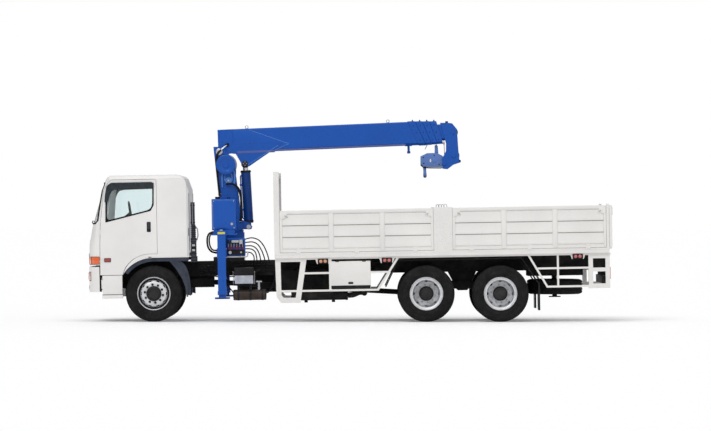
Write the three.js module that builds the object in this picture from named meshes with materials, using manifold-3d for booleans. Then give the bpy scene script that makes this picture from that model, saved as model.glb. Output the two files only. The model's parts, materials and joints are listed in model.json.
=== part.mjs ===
// A 6x4 cab-over flatbed truck with a telescopic loader crane between cab and bed.
// Millimetres, +Z up. The truck drives towards -X; its left side is -Y.
// Axles and wheels stand level. Everything that they carry is modelled level in one sprung
// group, which is then raked: the chassis of an empty truck rides higher at the back.
import * as THREE from "three";
import { mergeVertices } from "three/addons/utils/BufferGeometryUtils.js";
import Module from "manifold-3d";

const wasm = await Module();
wasm.setup();

// ---------------------------------------------------------------- driving dimensions
const degrees = THREE.MathUtils.degToRad;
const gap = 0.3; // between pieces that touch
const slideGap = 0.3; // between a pin or slide and its seat
const pinSides = 24;
const panelGap = 6; // between a moving panel and its opening

const rakeAngle = degrees(1);
const frontAxleX = 1210;
const wheelbase = 4970; // first to second axle
const bogieSpacing = 1350; // second to third axle
const tyreRadius = 515;
const tyreWidth = 279;
const wheelSides = 24;
const frontTrack = 1940;
const twinSpacing = 310; // between the two tyres of a twin wheel
const rearOuterTyreY = 1085;
const rimRadius = 300;

const rearAxleX = [frontAxleX + wheelbase, frontAxleX + wheelbase + bogieSpacing];
const bogieCentreX = (rearAxleX[0] + rearAxleX[1]) / 2;

const railOuterY = 425;
const railWidth = 80;
const railInnerY = railOuterY - railWidth;
const railTop = 1080;
const railHeight = 270;
const railBottom = railTop - railHeight;
const railFront = 130;
const railRear = rearAxleX[1] + 1620;

const cabHalfWidth = 1145;
const cabWall = 60;
const cabFloorBottom = 1190;
const cabFloorTop = 1250;
const cabBack = 1880;
// Above this height the cab's back leans forward, by backLean at the roof's seam.
const backLeanFrom = 2400;
const backLean = 75;
const cabPanelBottom = 1050;
const beltline = 1800; // top of the front panel
const roofSeam = 2606;
const roofTop = 2680;
const tiltPivot = { x: 66, z: 960 };

const bumperTop = 1020;
const bumperBottom = 560;
const noseCornerX = 245; // where the rounded nose meets the flat side

const bedHalfWidth = 1230;
const bedFront = 3433;
const gateThickness = 40;
const gateTop = 1985;
const railTopBed = 1214; // top of the deck's side rail
const railBottomBed = 1116;
const sideRailWidth = 50;
const centrePost = { x0: bogieCentreX - 514, x1: bogieCentreX - 175 };
const tail = rearAxleX[1] + 2005;
const rearPost = { x0: tail - 50, x1: tail };
const gateHinge = { y: bedHalfWidth + 10, z: railTopBed + 2.5, radius: 8.5 };
const tailgate = { x0: tail + panelGap, x1: tail + panelGap + gateThickness };

const slewAxisX = 2590;
const outriggerX = 2470;
const outriggerBox = { width: 160, bottom: 1150, top: 1310, wall: 15, halfLength: 1000 };
const jackTube = { side: 150, wall: 12, bottom: 470, top: 1610, y: 1110 };
const jackFoot = { side: 270, bottom: 397, thickness: 30 };
const columnBottom = 1650;

const boomPivot = { x: 2429, z: 3093 };
const boomAngle = degrees(1.4); // above the sprung frame, when stowed
const boomBase = { width: 300, bottom: -30, top: 407, wall: 8 };
const cheekInnerY = boomBase.width / 2 + 18;
const cheekThickness = 22;
const cheekOuterY = cheekInnerY + cheekThickness;
const sectionStep = 34; // each section is this much narrower and lower than the one around it
const collarTopX = 3624; // front edge of the first collar, at the top of the boom
const collarPitch = 132;
const collarSlant = 190;
const collarTurn = 24; // each collar's face stands steeper than the last
const liftPinOnBoom = { x: 465, z: -238 };
const liftPinOnColumn = { x: 2947, z: 1701 };
const barrelRadius = 88;
const hookPin = { x: 4140, z: -390 };

const trim = {
  white: { color: 0xe9e8e6, roughness: 0.45, metalness: 0.0 },
  blue: { color: 0x1d4fa3, roughness: 0.4, metalness: 0.1 },
  black: { color: 0x1a1a1c, roughness: 0.7, metalness: 0.2 },
  plastic: { color: 0x2d3036, roughness: 0.75, metalness: 0.0 },
  rubber: { color: 0x1c1c1d, roughness: 0.9, metalness: 0.0 },
  steel: { color: 0xb9bcc0, roughness: 0.35, metalness: 0.9 },
  glass: { color: 0xa9c6cc, roughness: 0.05, metalness: 0.0 },
  seat: { color: 0x3a3c42, roughness: 0.9, metalness: 0.0 },
};

// ---------------------------------------------------------------- solids
function solidFrom(geometry) {
  const bare = geometry.index ? geometry.toNonIndexed() : geometry.clone();
  bare.deleteAttribute("normal");
  bare.deleteAttribute("uv");
  const merged = mergeVertices(bare, 1e-3);
  return new wasm.Manifold(
    new wasm.Mesh({
      numProp: 3,
      vertProperties: merged.attributes.position.array,
      triVerts: new Uint32Array(merged.index.array),
    }),
  );
}

function geometryFrom(solid) {
  const mesh = solid.getMesh();
  const geometry = new THREE.BufferGeometry();
  const positions = new Float32Array(mesh.numVert * 3);
  for (let i = 0; i < mesh.numVert; i++) {
    const start = i * mesh.numProp;
    positions.set(mesh.vertProperties.subarray(start, start + 3), i * 3);
  }
  geometry.setAttribute("position", new THREE.BufferAttribute(positions, 3));
  geometry.setIndex(new THREE.BufferAttribute(new Uint32Array(mesh.triVerts), 1));
  geometry.computeVertexNormals();
  return geometry;
}

const join = (...solids) => solids.flat().reduce((a, b) => a.add(b));

function box(x0, x1, y0, y1, z0, z1) {
  const geometry = new THREE.BoxGeometry(x1 - x0, y1 - y0, z1 - z0);
  geometry.translate((x0 + x1) / 2, (y0 + y1) / 2, (z0 + z1) / 2);
  return solidFrom(geometry);
}

function extrude(outline, depth) {
  const shape = new THREE.Shape(outline.map(([a, b]) => new THREE.Vector2(a, b)));
  return new THREE.ExtrudeGeometry(shape, { depth, bevelEnabled: false });
}

// An outline of [x, z] points, made solid between two Y values.
function sidePlate(outline, y0, y1) {
  const geometry = extrude(outline, y1 - y0);
  geometry.rotateX(Math.PI / 2);
  geometry.translate(0, y1, 0);
  return solidFrom(geometry);
}

// An outline of [y, z] points, made solid between two X values.
function crossPlate(outline, x0, x1) {
  const geometry = extrude(outline, x1 - x0);
  const turn = new THREE.Matrix4().makeBasis(
    new THREE.Vector3(0, 1, 0),
    new THREE.Vector3(0, 0, 1),
    new THREE.Vector3(1, 0, 0),
  );
  geometry.applyMatrix4(turn);
  geometry.translate(x0, 0, 0);
  return solidFrom(geometry);
}

// An outline of [x, y] points, made solid between two Z values.
function planPlate(outline, z0, z1) {
  const geometry = extrude(outline, z1 - z0);
  geometry.translate(0, 0, z0);
  return solidFrom(geometry);
}

// A round bar between two points.
function cylinder(radius, from, to, sides = 12) {
  const start = new THREE.Vector3(...from);
  const end = new THREE.Vector3(...to);
  const axis = end.clone().sub(start);
  const geometry = new THREE.CylinderGeometry(radius, radius, axis.length(), sides);
  const turn = new THREE.Quaternion();
  turn.setFromUnitVectors(new THREE.Vector3(0, 1, 0), axis.normalize());
  geometry.applyQuaternion(turn);
  const middle = start.add(end).multiplyScalar(0.5);
  geometry.translate(middle.x, middle.y, middle.z);
  return solidFrom(geometry);
}

// The hole for a round bar: its flats stand clear of the bar's corners.
function bore(radius, from, to, sides = pinSides) {
  return cylinder((radius + slideGap) / Math.cos(Math.PI / sides), from, to, sides);
}

// A bar of the given width and depth between two [x, z] points, between two Y values.
function slantBar(a, b, width, y0, y1) {
  const along = new THREE.Vector2(b[0] - a[0], b[1] - a[1]).normalize();
  const side = [(-along.y * width) / 2, (along.x * width) / 2];
  const outline = [
    [a[0] - side[0], a[1] - side[1]],
    [b[0] - side[0], b[1] - side[1]],
    [b[0] + side[0], b[1] + side[1]],
    [a[0] + side[0], a[1] + side[1]],
  ];
  return sidePlate(outline, y0, y1);
}

// Replaces each corner of an outline by a short arc.
function rounded(outline, radius, steps = 3) {
  const made = [];
  outline.forEach((corner, i) => {
    const here = new THREE.Vector2(...corner);
    const before = new THREE.Vector2(...outline.at(i - 1));
    const after = new THREE.Vector2(...outline[(i + 1) % outline.length]);
    const toBefore = before.clone().sub(here);
    const toAfter = after.clone().sub(here);
    const reach = Math.min(radius, toBefore.length() / 2.1, toAfter.length() / 2.1);
    const start = here.clone().add(toBefore.setLength(reach));
    const end = here.clone().add(toAfter.setLength(reach));
    const curve = new THREE.QuadraticBezierCurve(start, here, end);
    curve.getPoints(steps).forEach((p) => made.push([p.x, p.y]));
  });
  return made;
}

// Moves each side of a counter-clockwise outline inwards (or outwards, if distance is negative).
function inset(outline, distance) {
  return outline.map((corner, i) => {
    const here = new THREE.Vector2(...corner);
    const before = here.clone().sub(new THREE.Vector2(...outline.at(i - 1))).normalize();
    const after = new THREE.Vector2(...outline[(i + 1) % outline.length]).sub(here).normalize();
    const normalBefore = new THREE.Vector2(-before.y, before.x);
    const normalAfter = new THREE.Vector2(-after.y, after.x);
    const mitre = normalBefore.clone().add(normalAfter);
    const scale = distance / (1 + normalBefore.dot(normalAfter));
    return [here.x + mitre.x * scale, here.y + mitre.y * scale];
  });
}

function arc(cx, cz, radius, fromDegrees, toDegrees, steps) {
  return Array.from({ length: steps + 1 }, (_, i) => {
    const angle = degrees(fromDegrees + ((toDegrees - fromDegrees) * i) / steps);
    return [cx + radius * Math.cos(angle), cz + radius * Math.sin(angle)];
  });
}

// A profile of [radius, y] points turned about the Y axis, with a flat side lowest.
function wheelLathe(profile) {
  const outFactor = 1 / Math.cos(Math.PI / wheelSides);
  const points = profile.map(([r, y]) => new THREE.Vector2(r * outFactor, y));
  const geometry = new THREE.LatheGeometry([...points, points[0].clone()], wheelSides);
  geometry.rotateY(Math.PI / wheelSides);
  return solidFrom(geometry);
}

const mirrorY = (solid) => solid.mirror([0, 1, 0]);

// ---------------------------------------------------------------- scene helpers
function piece(name, solid, finish) {
  const mesh = new THREE.Mesh(geometryFrom(solid), new THREE.MeshStandardMaterial(finish));
  mesh.name = name;
  return mesh;
}

// A group whose origin is a joint. Its pieces are modelled in the parent's frame.
function jointAt(name, x, y, z, ...members) {
  const group = new THREE.Group();
  group.name = name;
  group.position.set(x, y, z);
  members.flat().forEach((member) => {
    member.position.sub(group.position);
    group.add(member);
  });
  return group;
}

const sides = [
  { name: "left", sign: -1 },
  { name: "right", sign: 1 },
];
const onSide = (side, solidAtPlusY) => (side.sign > 0 ? solidAtPlusY : mirrorY(solidAtPlusY));

// ---------------------------------------------------------------- wheels and axles
const bead = rimRadius - 8;
const halfTyre = tyreWidth / 2;

// Outer contour of one tyre centred on y, from its inboard bead to its outboard bead.
function tyreContour(y) {
  return [
    [bead, y - halfTyre + 28],
    [tyreRadius * 0.8, y - halfTyre],
    [tyreRadius - 14, y - halfTyre + 22],
    [tyreRadius, y - halfTyre + 48],
    [tyreRadius, y + halfTyre - 48],
    [tyreRadius - 14, y + halfTyre - 22],
    [tyreRadius * 0.8, y + halfTyre],
    [bead, y + halfTyre - 28],
  ];
}

const frontWheelY = frontTrack / 2;
const kingpinY = 840;
const spindleRadius = 45;
const hubNose = frontWheelY + 165;
const hubInner = kingpinY + 78;

// The wheel is turned about Y at the origin: rim, hub and tyre, bored for its spindle.
function frontWheelSolid() {
  const bore = spindleRadius + slideGap;
  const profile = [
    [bore, hubInner - frontWheelY],
    [150, hubInner - frontWheelY],
    [150, 40],
    [bead - 40, 20],
    [bead - 40, -halfTyre + 40],
    ...tyreContour(0),
    [bead - 30, halfTyre - 40],
    [bead - 90, 75],
    [175, 118],
    [115, 112],
    [100, hubNose - frontWheelY],
    [bore, hubNose - frontWheelY],
  ];
  return wheelLathe(profile);
}

const rearInnerTyreY = rearOuterTyreY - twinSpacing;
const rearSpindleRadius = 60;
const rearHubInner = 640;

function twinWheelSolid() {
  const bore = rearSpindleRadius + slideGap;
  const outer = rearOuterTyreY;
  const inner = rearInnerTyreY;
  const disc = (outer + inner) / 2;
  const profile = [
    [bore, rearHubInner],
    [190, rearHubInner],
    [190, disc - 12],
    [bead - 30, disc - 40],
    [bead - 30, inner - halfTyre + 28],
    ...tyreContour(inner),
    [bead, outer - halfTyre + 20],
    ...tyreContour(outer).slice(1),
    [bead - 30, outer + halfTyre - 40],
    [bead - 40, disc + 60],
    [160, disc + 12],
    [125, disc + 12],
    [110, outer + 75],
    [bore, outer + 75],
  ];
  return wheelLathe(profile);
}

function knuckleSolid() {
  const z = tyreRadius;
  const arms = [
    box(frontAxleX - 60, frontAxleX + 60, kingpinY - 50, kingpinY + 76, z + 40, z + 75),
    box(frontAxleX - 60, frontAxleX + 60, kingpinY - 50, kingpinY + 76, z - 115, z - 80),
  ];
  const web = box(frontAxleX - 60, frontAxleX + 60, kingpinY + 56, kingpinY + 76, z - 115, z + 75);
  const spindle = cylinder(spindleRadius,
    [frontAxleX, kingpinY + 70, z],
    [frontAxleX, hubNose - 20, z],
  );
  return join(arms, web, spindle);
}

const springY = { inner: railInnerY, outer: railOuterY };

function frontAxleSolid() {
  const z = tyreRadius;
  const beam = crossPlate(
    [
      [-kingpinY - 20, z - 79.5],
      [-kingpinY + 90, z - 79.5],
      [-620, z - 150],
      [620, z - 150],
      [kingpinY - 90, z - 79.5],
      [kingpinY + 20, z - 79.5],
      [kingpinY + 20, z + 39.5],
      [kingpinY - 90, z + 39.5],
      [600, z - 40],
      [-600, z - 40],
      [-kingpinY + 90, z + 39.5],
      [-kingpinY - 20, z + 39.5],
    ],
    frontAxleX - 45,
    frontAxleX + 45,
  );
  const springs = sides.map(({ sign }) => {
    const spring = sidePlate(
      [
        [frontAxleX - 570, 640],
        [frontAxleX - 640, 640],
        [frontAxleX - 640, 618],
        [frontAxleX - 100, z - 42],
        [frontAxleX + 100, z - 42],
        [frontAxleX + 640, 618],
        [frontAxleX + 640, 640],
        [frontAxleX + 570, 640],
        [frontAxleX + 100, z + 45],
        [frontAxleX - 100, z + 45],
      ],
      springY.inner,
      springY.outer,
    );
    return sign > 0 ? spring : mirrorY(spring);
  });
  return join(beam, springs);
}

function rearBogieSolid() {
  const z = tyreRadius;
  const axles = rearAxleX.map((x) =>
    join(
      cylinder(rearSpindleRadius, [x, -rearOuterTyreY - 55, z], [x, rearOuterTyreY + 55, z]),
      cylinder(85, [x, -rearHubInner + 10, z], [x, rearHubInner - 10, z]),
      cylinder(210, [x, -90, z], [x, 150, z], 14),
      box(x - 70, x + 70, -springY.outer - 60, springY.outer + 60, z + 40, z + 100),
    ),
  );
  const springs = sides.map(({ sign }) => {
    const spring = sidePlate(
      [
        [rearAxleX[0] - 90, z + 80],
        [rearAxleX[1] + 90, z + 80],
        [rearAxleX[1] + 90, z + 105],
        [bogieCentreX + 180, z + 215],
        [bogieCentreX - 180, z + 215],
        [rearAxleX[0] - 90, z + 105],
      ],
      springY.outer - 30,
      springY.outer + 60,
    );
    return sign > 0 ? spring : mirrorY(spring);
  });
  const trunnion = cylinder(65,
    [bogieCentreX, -springY.outer - 40, z + 140],
    [bogieCentreX, springY.outer + 40, z + 140],
    pinSides,
  );
  return join(axles, springs, trunnion);
}

function frontWheelGroup(side) {
  const wheel = piece(`front_${side.name}_wheel`, onSide(side, frontWheelSolid()), trim.rubber);
  wheel.position.set(frontAxleX, side.sign * frontWheelY, tyreRadius);
  const spin = jointAt(
    `front_${side.name}_wheel_spin`,
    frontAxleX,
    side.sign * frontWheelY,
    tyreRadius,
    wheel,
  );
  const knuckle = piece(`front_${side.name}_knuckle`, onSide(side, knuckleSolid()), trim.black);
  return jointAt(
    `${side.name}_steer`,
    frontAxleX,
    side.sign * kingpinY,
    tyreRadius,
    knuckle,
    spin,
  );
}

function rearWheelGroup(side, axle) {
  const name = `rear_${side.name}_wheels_${axle + 1}`;
  const wheel = piece(name, onSide(side, twinWheelSolid()), trim.rubber);
  wheel.position.set(rearAxleX[axle], 0, tyreRadius);
  return jointAt(
    `${name}_spin`,
    rearAxleX[axle],
    side.sign * ((rearOuterTyreY + rearInnerTyreY) / 2),
    tyreRadius,
    wheel,
  );
}

function runningGear() {
  const group = new THREE.Group();
  group.add(piece("front_axle", frontAxleSolid(), trim.black));
  group.add(piece("rear_bogie", rearBogieSolid(), trim.black));
  sides.forEach((side) => {
    group.add(frontWheelGroup(side));
    rearAxleX.forEach((_, axle) => group.add(rearWheelGroup(side, axle)));
  });
  return group;
}

// ---------------------------------------------------------------- chassis
// A point given level with the ground, in the raked frame of the sprung group.
function toSprung(x, z) {
  const dx = x - frontAxleX;
  return {
    x: frontAxleX + dx * Math.cos(rakeAngle) + z * Math.sin(rakeAngle),
    z: z * Math.cos(rakeAngle) - dx * Math.sin(rakeAngle),
  };
}

const spareX = rearAxleX[1] + 1015;
const spareZ = 490;
const crossmemberX = [
  145,
  2340,
  3300,
  4500,
  rearAxleX[0] - 300,
  bogieCentreX,
  rearAxleX[1] + 370,
  spareX,
  railRear - 70,
];
const tiltPinRadius = 12;
const springEyeReach = 610;

function chassisFrameSolid() {
  const rail = box(railFront, railRear, railInnerY, railOuterY, railBottom, railTop).subtract(
    box(railFront - 1, railRear + 1, railInnerY - 1, railOuterY - 10, railBottom + 12, railTop - 12),
  );
  const horn = box(34, 140, railInnerY, railOuterY, 925, 995);
  const tiltPin = cylinder(
    tiltPinRadius,
    [tiltPivot.x, railOuterY - 5, tiltPivot.z],
    [tiltPivot.x, railOuterY + 62, tiltPivot.z],
    pinSides,
  );
  const cabRest = box(1640, 1700, railInnerY, railOuterY, railTop - 5, cabFloorBottom - 5.5);
  const hangers = [-springEyeReach, springEyeReach].map((reach) => {
    const foot = toSprung(frontAxleX + reach, 640 + 0.8);
    return box(foot.x - 25, foot.x + 25, railInnerY, railOuterY, foot.z, railBottom + 5);
  });
  const trunnion = toSprung(bogieCentreX, tyreRadius + 140);
  const saddle = sidePlate(
    [
      [trunnion.x - 260, railBottom + 5],
      [trunnion.x - 90, trunnion.z - 90],
      [trunnion.x + 90, trunnion.z - 90],
      [trunnion.x + 260, railBottom + 5],
    ],
    railInnerY,
    railOuterY - 41,
  ).subtract(bore(65, [trunnion.x, railInnerY - 1, trunnion.z], [trunnion.x, railOuterY, trunnion.z]));
  const half = join(rail, horn, tiltPin, cabRest, hangers, saddle);
  const crossmembers = crossmemberX.map((x) =>
    box(x, x + 60, -railOuterY + 5, railOuterY - 5, railBottom + 50, railTop - 50),
  );
  const spareRod = cylinder(
    spindleRadius,
    [spareX + 30, 0, spareZ - 185],
    [spareX + 30, 0, railBottom + 60],
  );
  const sparePlate = cylinder(110, [spareX + 30, 0, spareZ - 185], [spareX + 30, 0, spareZ - 165.4]);
  const carrier = box(
    spareX - 480,
    spareX + 540,
    railInnerY,
    railInnerY + 12,
    spareZ + 215,
    railBottom + 5,
  );
  return join(half, mirrorY(half), crossmembers, spareRod, sparePlate, carrier, mirrorY(carrier));
}

function powertrainSolid() {
  const engine = box(500, 1560, -300, 300, 620, 1150);
  const mounts = [600, 1400].flatMap((x) => [
    box(x, x + 90, 280, 400, railTop + gap, railTop + 30),
    box(x, x + 90, -400, -280, railTop + gap, railTop + 30),
  ]);
  const gearbox = crossPlate(
    [
      [-170, 600],
      [170, 600],
      [230, 760],
      [170, 960],
      [-170, 960],
      [-230, 760],
    ],
    1550,
    2290,
  );
  const shaftEnd = toSprung(rearAxleX[0] - 240, tyreRadius);
  const shaft = cylinder(48, [2280, 0, 690], [shaftEnd.x, 0, shaftEnd.z], 8);
  return join(engine, mounts, gearbox, shaft);
}

const nosePath = [
  [0, 600],
  [0.08, 850],
  [0.28, 1010],
  [0.57, 1100],
  [1, 1145],
];

// The rounded front of the cab and bumper seen from above, from -Y to +Y.
function nose(front, side, thickness = 0) {
  const scale = (cabHalfWidth - thickness) / cabHalfWidth;
  const half = nosePath.map(([u, y]) => [front + thickness + u * (side - front - thickness), y * scale]);
  return [...half.map(([x, y]) => [x, -y]).reverse(), ...half];
}

const bumperWall = 14;
const bumperSide = 236;
const stepPanel = { x0: 288, x1: 650, bottom: 439, top: 858 };

function frontBumperSolid() {
  const outer = planPlate(nose(19, bumperSide).reverse(), bumperBottom, bumperTop);
  const inner = nose(19, bumperSide, bumperWall).reverse();
  inner.push([bumperSide + 50, inner.at(-1)[1]]);
  inner.unshift([bumperSide + 50, inner[0][1]]);
  const shell = outer.subtract(planPlate(inner, bumperBottom - 1, bumperTop + 1));
  const step = planPlate(
    [
      [stepPanel.x0, 900],
      [590, 900],
      [stepPanel.x1, 1080],
      [stepPanel.x1, cabHalfWidth],
      [stepPanel.x0, cabHalfWidth],
    ],
    stepPanel.bottom,
    stepPanel.top,
  );
  const well = box(320, 600, 920, cabHalfWidth + 1, 640, 815);
  const bridge = box(205, stepPanel.x0 + 5, 1112, 1136, 620, 780);
  const arm = box(stepPanel.x0 + 10, stepPanel.x0 + 70, railOuterY + gap, 905, 830, 856);
  const half = join(step.subtract(well), bridge, arm);
  return join(shell, half, mirrorY(half));
}

function frontMudguardSolid() {
  const wheel = { x: frontAxleX, z: tyreRadius };
  const band = sidePlate(
    [
      ...arc(wheel.x, wheel.z, 645, 90, 142, 5).reverse(),
      [1859, 1160],
      [1859, 1100],
      ...arc(wheel.x, wheel.z, 585, 90, 142, 5),
    ].reverse(),
    1030,
    1140,
  );
  const guard = sidePlate(
    [
      [1500, 1120],
      [1632, 960],
      [1744, 770],
      [1804, 600],
      [1822, 445],
      [1838, 445],
      [1852, 640],
      [1838, 750],
      [1800, 880],
      [1740, 1005],
      [1650, 1120],
    ],
    880,
    1140,
  );
  const shelf = box(1440, 1859, 880, 1040, 1110, 1130);
  const arm = box(1740, 1800, railInnerY, 900, 1105, 1135);
  const foot = box(1740, 1800, railInnerY, railOuterY, railTop + gap, 1110);
  return join(band, guard, shelf, arm, foot);
}

function fuelTankSolid() {
  const body = crossPlate(
    rounded(
      [
        [560, 480],
        [1120, 480],
        [1120, 1000],
        [560, 1000],
      ],
      90,
    ),
    2720,
    3960,
  );
  const brackets = [2900, 3740].map((x) => box(x, x + 70, railOuterY + gap, 600, 860, 940));
  return join(body, brackets);
}

// Modelled on +Y and mirrored, as every piece that hangs on one side is.
function batteryBoxSolid() {
  const crate = box(2692, 3042, 760, 1090, 662, 959);
  const tank = cylinder(96, [2667, 960, 462], [3265, 960, 462], 12);
  const straps = [2740, 2960].map((x) => box(x, x + 40, 900, 1020, 540, 670));
  const brackets = [2720, 2950].map((x) => box(x, x + 60, railOuterY + gap, 770, 880, 950));
  return join(crate, tank, straps, brackets);
}

function silencerSolid() {
  const body = crossPlate(
    rounded(
      [
        [640, 340],
        [1000, 340],
        [1000, 495],
        [640, 495],
      ],
      60,
    ),
    3722,
    4757,
  );
  const straps = [3960, 4460].map((x) =>
    join(
      box(x, x + 60, railOuterY + gap, 720, 850, 900),
      box(x, x + 60, 670, 720, 480, 900),
      box(x, x + 60, 760, 880, 300, 345),
    ),
  );
  const shield = box(3560, 4440, 672, 684, 488, 890);
  return join(body, straps, shield);
}

function airIntakeSolid() {
  const filter = box(1910, 2006, 930, 1090, 1079, 1520);
  const neck = box(1922, 1996, 970, 1080, 1515, 1760);
  const snorkel = box(1914, 1986, 950, 1090, 1755, 2170);
  const duct = box(1920, 2000, 330, 960, 1100, 1180);
  const foot = box(1920, 2000, railInnerY, railOuterY, railTop + gap, 1110);
  return join(filter, neck, snorkel, duct, foot);
}

const guardOuterY = bedHalfWidth - sideRailWidth;
const guardInnerY = guardOuterY - 50;

function sideGuardSolid() {
  const strip = box(bedFront + 9, tail + 20, guardInnerY, guardOuterY, 1085, railBottomBed - gap);
  const frameOutline = [
    [3457, 418],
    [3537, 307],
    [3891, 301],
    [4015, 1100],
    [3442, 1100],
  ];
  const frame = sidePlate(frameOutline, guardInnerY, guardOuterY).subtract(
    sidePlate(
      [
        [3547, 448],
        [3587, 400],
        [3805, 396],
        [3905, 1050],
        [3540, 1050],
      ],
      guardInnerY - 1,
      guardOuterY + 1,
    ),
  );
  const bar = (a, b, width) => slantBar(a, b, width, guardInnerY, guardOuterY);
  const rails = [
    box(3500, rearAxleX[0] - 860, guardInnerY, guardOuterY, 500, 536),
    box(3880, rearAxleX[0] - 640, guardInnerY, guardOuterY, 820, 856),
    bar([rearAxleX[0] - 875, 515], [rearAxleX[0] - 500, 1100], 40),
    box(4420, 4470, guardInnerY, guardOuterY, 515, 1090),
  ];
  const toolbox = box(4450, 5178, guardInnerY - 260, guardOuterY - 20, 545, 1047);
  const rear = [
    bar([rearAxleX[1] + 530, 1095], [rearAxleX[1] + 865, 515], 36),
    box(rearAxleX[1] + 850, tail - 375, guardInnerY, guardOuterY, 500, 536),
    box(rearAxleX[1] + 690, tail - 375, guardInnerY, guardOuterY, 835, 870),
    box(rearAxleX[1] + 1044, rearAxleX[1] + 1080, guardInnerY, guardOuterY, 510, 1090),
  ];
  const block = box(tail - 385, tail + 5, guardInnerY - 60, guardOuterY, 475, 1090);
  const windows = [
    [560, 780],
    [850, 1020],
  ].map(([z0, z1]) => box(tail - 305, tail - 75, guardInnerY - 61, guardOuterY + 1, z0, z1));
  return join(strip, frame, rails, toolbox, rear, block.subtract(join(windows)));
}

function rearMudguardSolid() {
  const plate = (a, b) => slantBar(a, b, 16, 640, 1120);
  const [first, second] = rearAxleX;
  const topZ = toSprung(bogieCentreX, tyreRadius).z + 620;
  const front = plate([first - 730, 560], [first - 475, 1080]);
  const top = box(first - 490, second + 420, 640, 1120, topZ, topZ + 16);
  const rear = plate([second + 405, topZ + 8], [second + 710, 580]);
  const flap = box(second + 700, second + 730, 640, 1120, 90, 600);
  const arms = [first - 380, second + 170].map((x) =>
    box(x, x + 60, railOuterY + gap, 660, topZ - 12, topZ + 12),
  );
  return join(front, top, rear, flap, arms);
}

function rearUnderrunSolid() {
  const x0 = tail - 135;
  const x1 = tail - 35;
  const reach = guardInnerY - 70;
  const beam = box(x0, x1, -reach, reach, 560, 700);
  const legs = [-railOuterY, railInnerY].map((y) =>
    sidePlate(
      [
        [x0, 600],
        [x1, 600],
        [x1, 1060],
        [railRear + gap, 1060],
        [railRear + gap, 860],
        [x0, 760],
      ],
      y,
      y + railWidth,
    ),
  );
  return join(beam, legs);
}

// ---------------------------------------------------------------- load bed
const bearerCount = 9;
const bearerX = Array.from({ length: bearerCount }, (_, i) => {
  return bedFront + 127 + ((tail - bedFront - 242) * i) / (bearerCount - 1);
});

function bedDeckSolid() {
  const floor = box(bedFront, tail, -bedHalfWidth, bedHalfWidth, 1186, railTopBed);
  const frames = [
    box(bedFront, tail, bedHalfWidth - sideRailWidth, bedHalfWidth, railBottomBed, railTopBed),
    box(bedFront, tail, -bedHalfWidth, sideRailWidth - bedHalfWidth, railBottomBed, railTopBed),
    box(bedFront, railRear, railInnerY, railOuterY, railTop + gap, 1190),
    box(bedFront, railRear, -railOuterY, -railInnerY, railTop + gap, 1190),
  ];
  const bearers = bearerX.map((x) => box(x, x + 60, 30 - bedHalfWidth, bedHalfWidth - 30, 1125, 1190));
  const ends = [
    box(bedFront, bedFront + 50, -bedHalfWidth, bedHalfWidth, railBottomBed, railTopBed),
    box(rearPost.x0, tail, -bedHalfWidth, bedHalfWidth, railBottomBed, railTopBed),
  ];
  const posts = [
    box(centrePost.x0, centrePost.x1, bedHalfWidth - gateThickness, bedHalfWidth, 1200, 2000),
    box(rearPost.x0, rearPost.x1, bedHalfWidth - gateThickness, bedHalfWidth, 1200, 2012),
  ];
  const lugs = gateRanges.flatMap(({ x0, x1 }) =>
    hingeSpots(x0, x1).map((x) =>
      box(x - 40, x + 40, bedHalfWidth - 1, gateHinge.y, 1190, gateHinge.z - gateHinge.radius - gap),
    ),
  );
  const tailLugs = hingeSpots(-1180, 1180).map((y) =>
    box(
      tail - 1,
      tailHingeX,
      y - 40,
      y + 40,
      1190,
      gateHinge.z - gateHinge.radius - gap,
    ),
  );
  const half = join(posts, lugs);
  return join(floor, frames, bearers, ends, half, mirrorY(half), tailLugs);
}

const headboardTop = 2693;

function headboardSolid() {
  const posts = [-bedHalfWidth, bedHalfWidth - 70].map((y) =>
    box(bedFront, bedFront + 100, y, y + 70, railTopBed + gap, headboardTop),
  );
  const panel = box(bedFront + 30, bedFront + 70, -bedHalfWidth, bedHalfWidth, railTopBed + gap, 1996);
  const beams = [1996, headboardTop - 70].map((z) =>
    box(bedFront + 15, bedFront + 85, -bedHalfWidth, bedHalfWidth, z - 35, z + 35),
  );
  const bars = [-900, -540, -180, 180, 540, 900].map((y) =>
    box(bedFront + 30, bedFront + 70, y - 22, y + 22, 1990, headboardTop - 60),
  );
  return join(posts, panel, beams, bars);
}

const gateRanges = [
  { name: "front", x0: bedFront + 106, x1: centrePost.x0 - panelGap },
  { name: "rear", x0: centrePost.x1 + panelGap, x1: rearPost.x0 - panelGap },
];
const tailHingeX = tailgate.x1 + 10;

function hingeSpots(from, to) {
  const span = to - from;
  return [0.12, 0.5, 0.88].map((u) => from + span * u);
}

// A dropside panel: top, bottom and end rails, two ribs and a recessed board on each face.
function gateSolid(x0, x1) {
  const z0 = gateHinge.z + 2.5;
  const inner = bedHalfWidth - gateThickness;
  const slab = box(x0, x1, inner, bedHalfWidth, z0, gateTop);
  const third = (x1 - x0) / 3;
  const bays = [0, 1, 2].map((i) => {
    const left = x0 + third * i + 45;
    const right = x0 + third * (i + 1) - 45;
    return box(left, right, bedHalfWidth - 8, bedHalfWidth + 1, z0 + 60, gateTop - 70);
  });
  const knuckles = hingeSpots(x0, x1).map((x) =>
    join(
      cylinder(gateHinge.radius, [x - 38, gateHinge.y, gateHinge.z], [x + 38, gateHinge.y, gateHinge.z], 8),
      box(x - 38, x + 38, bedHalfWidth - 2, gateHinge.y, gateHinge.z + 2.5, gateHinge.z + 7),
    ),
  );
  return join(slab.subtract(join(bays)), knuckles);
}

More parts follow.
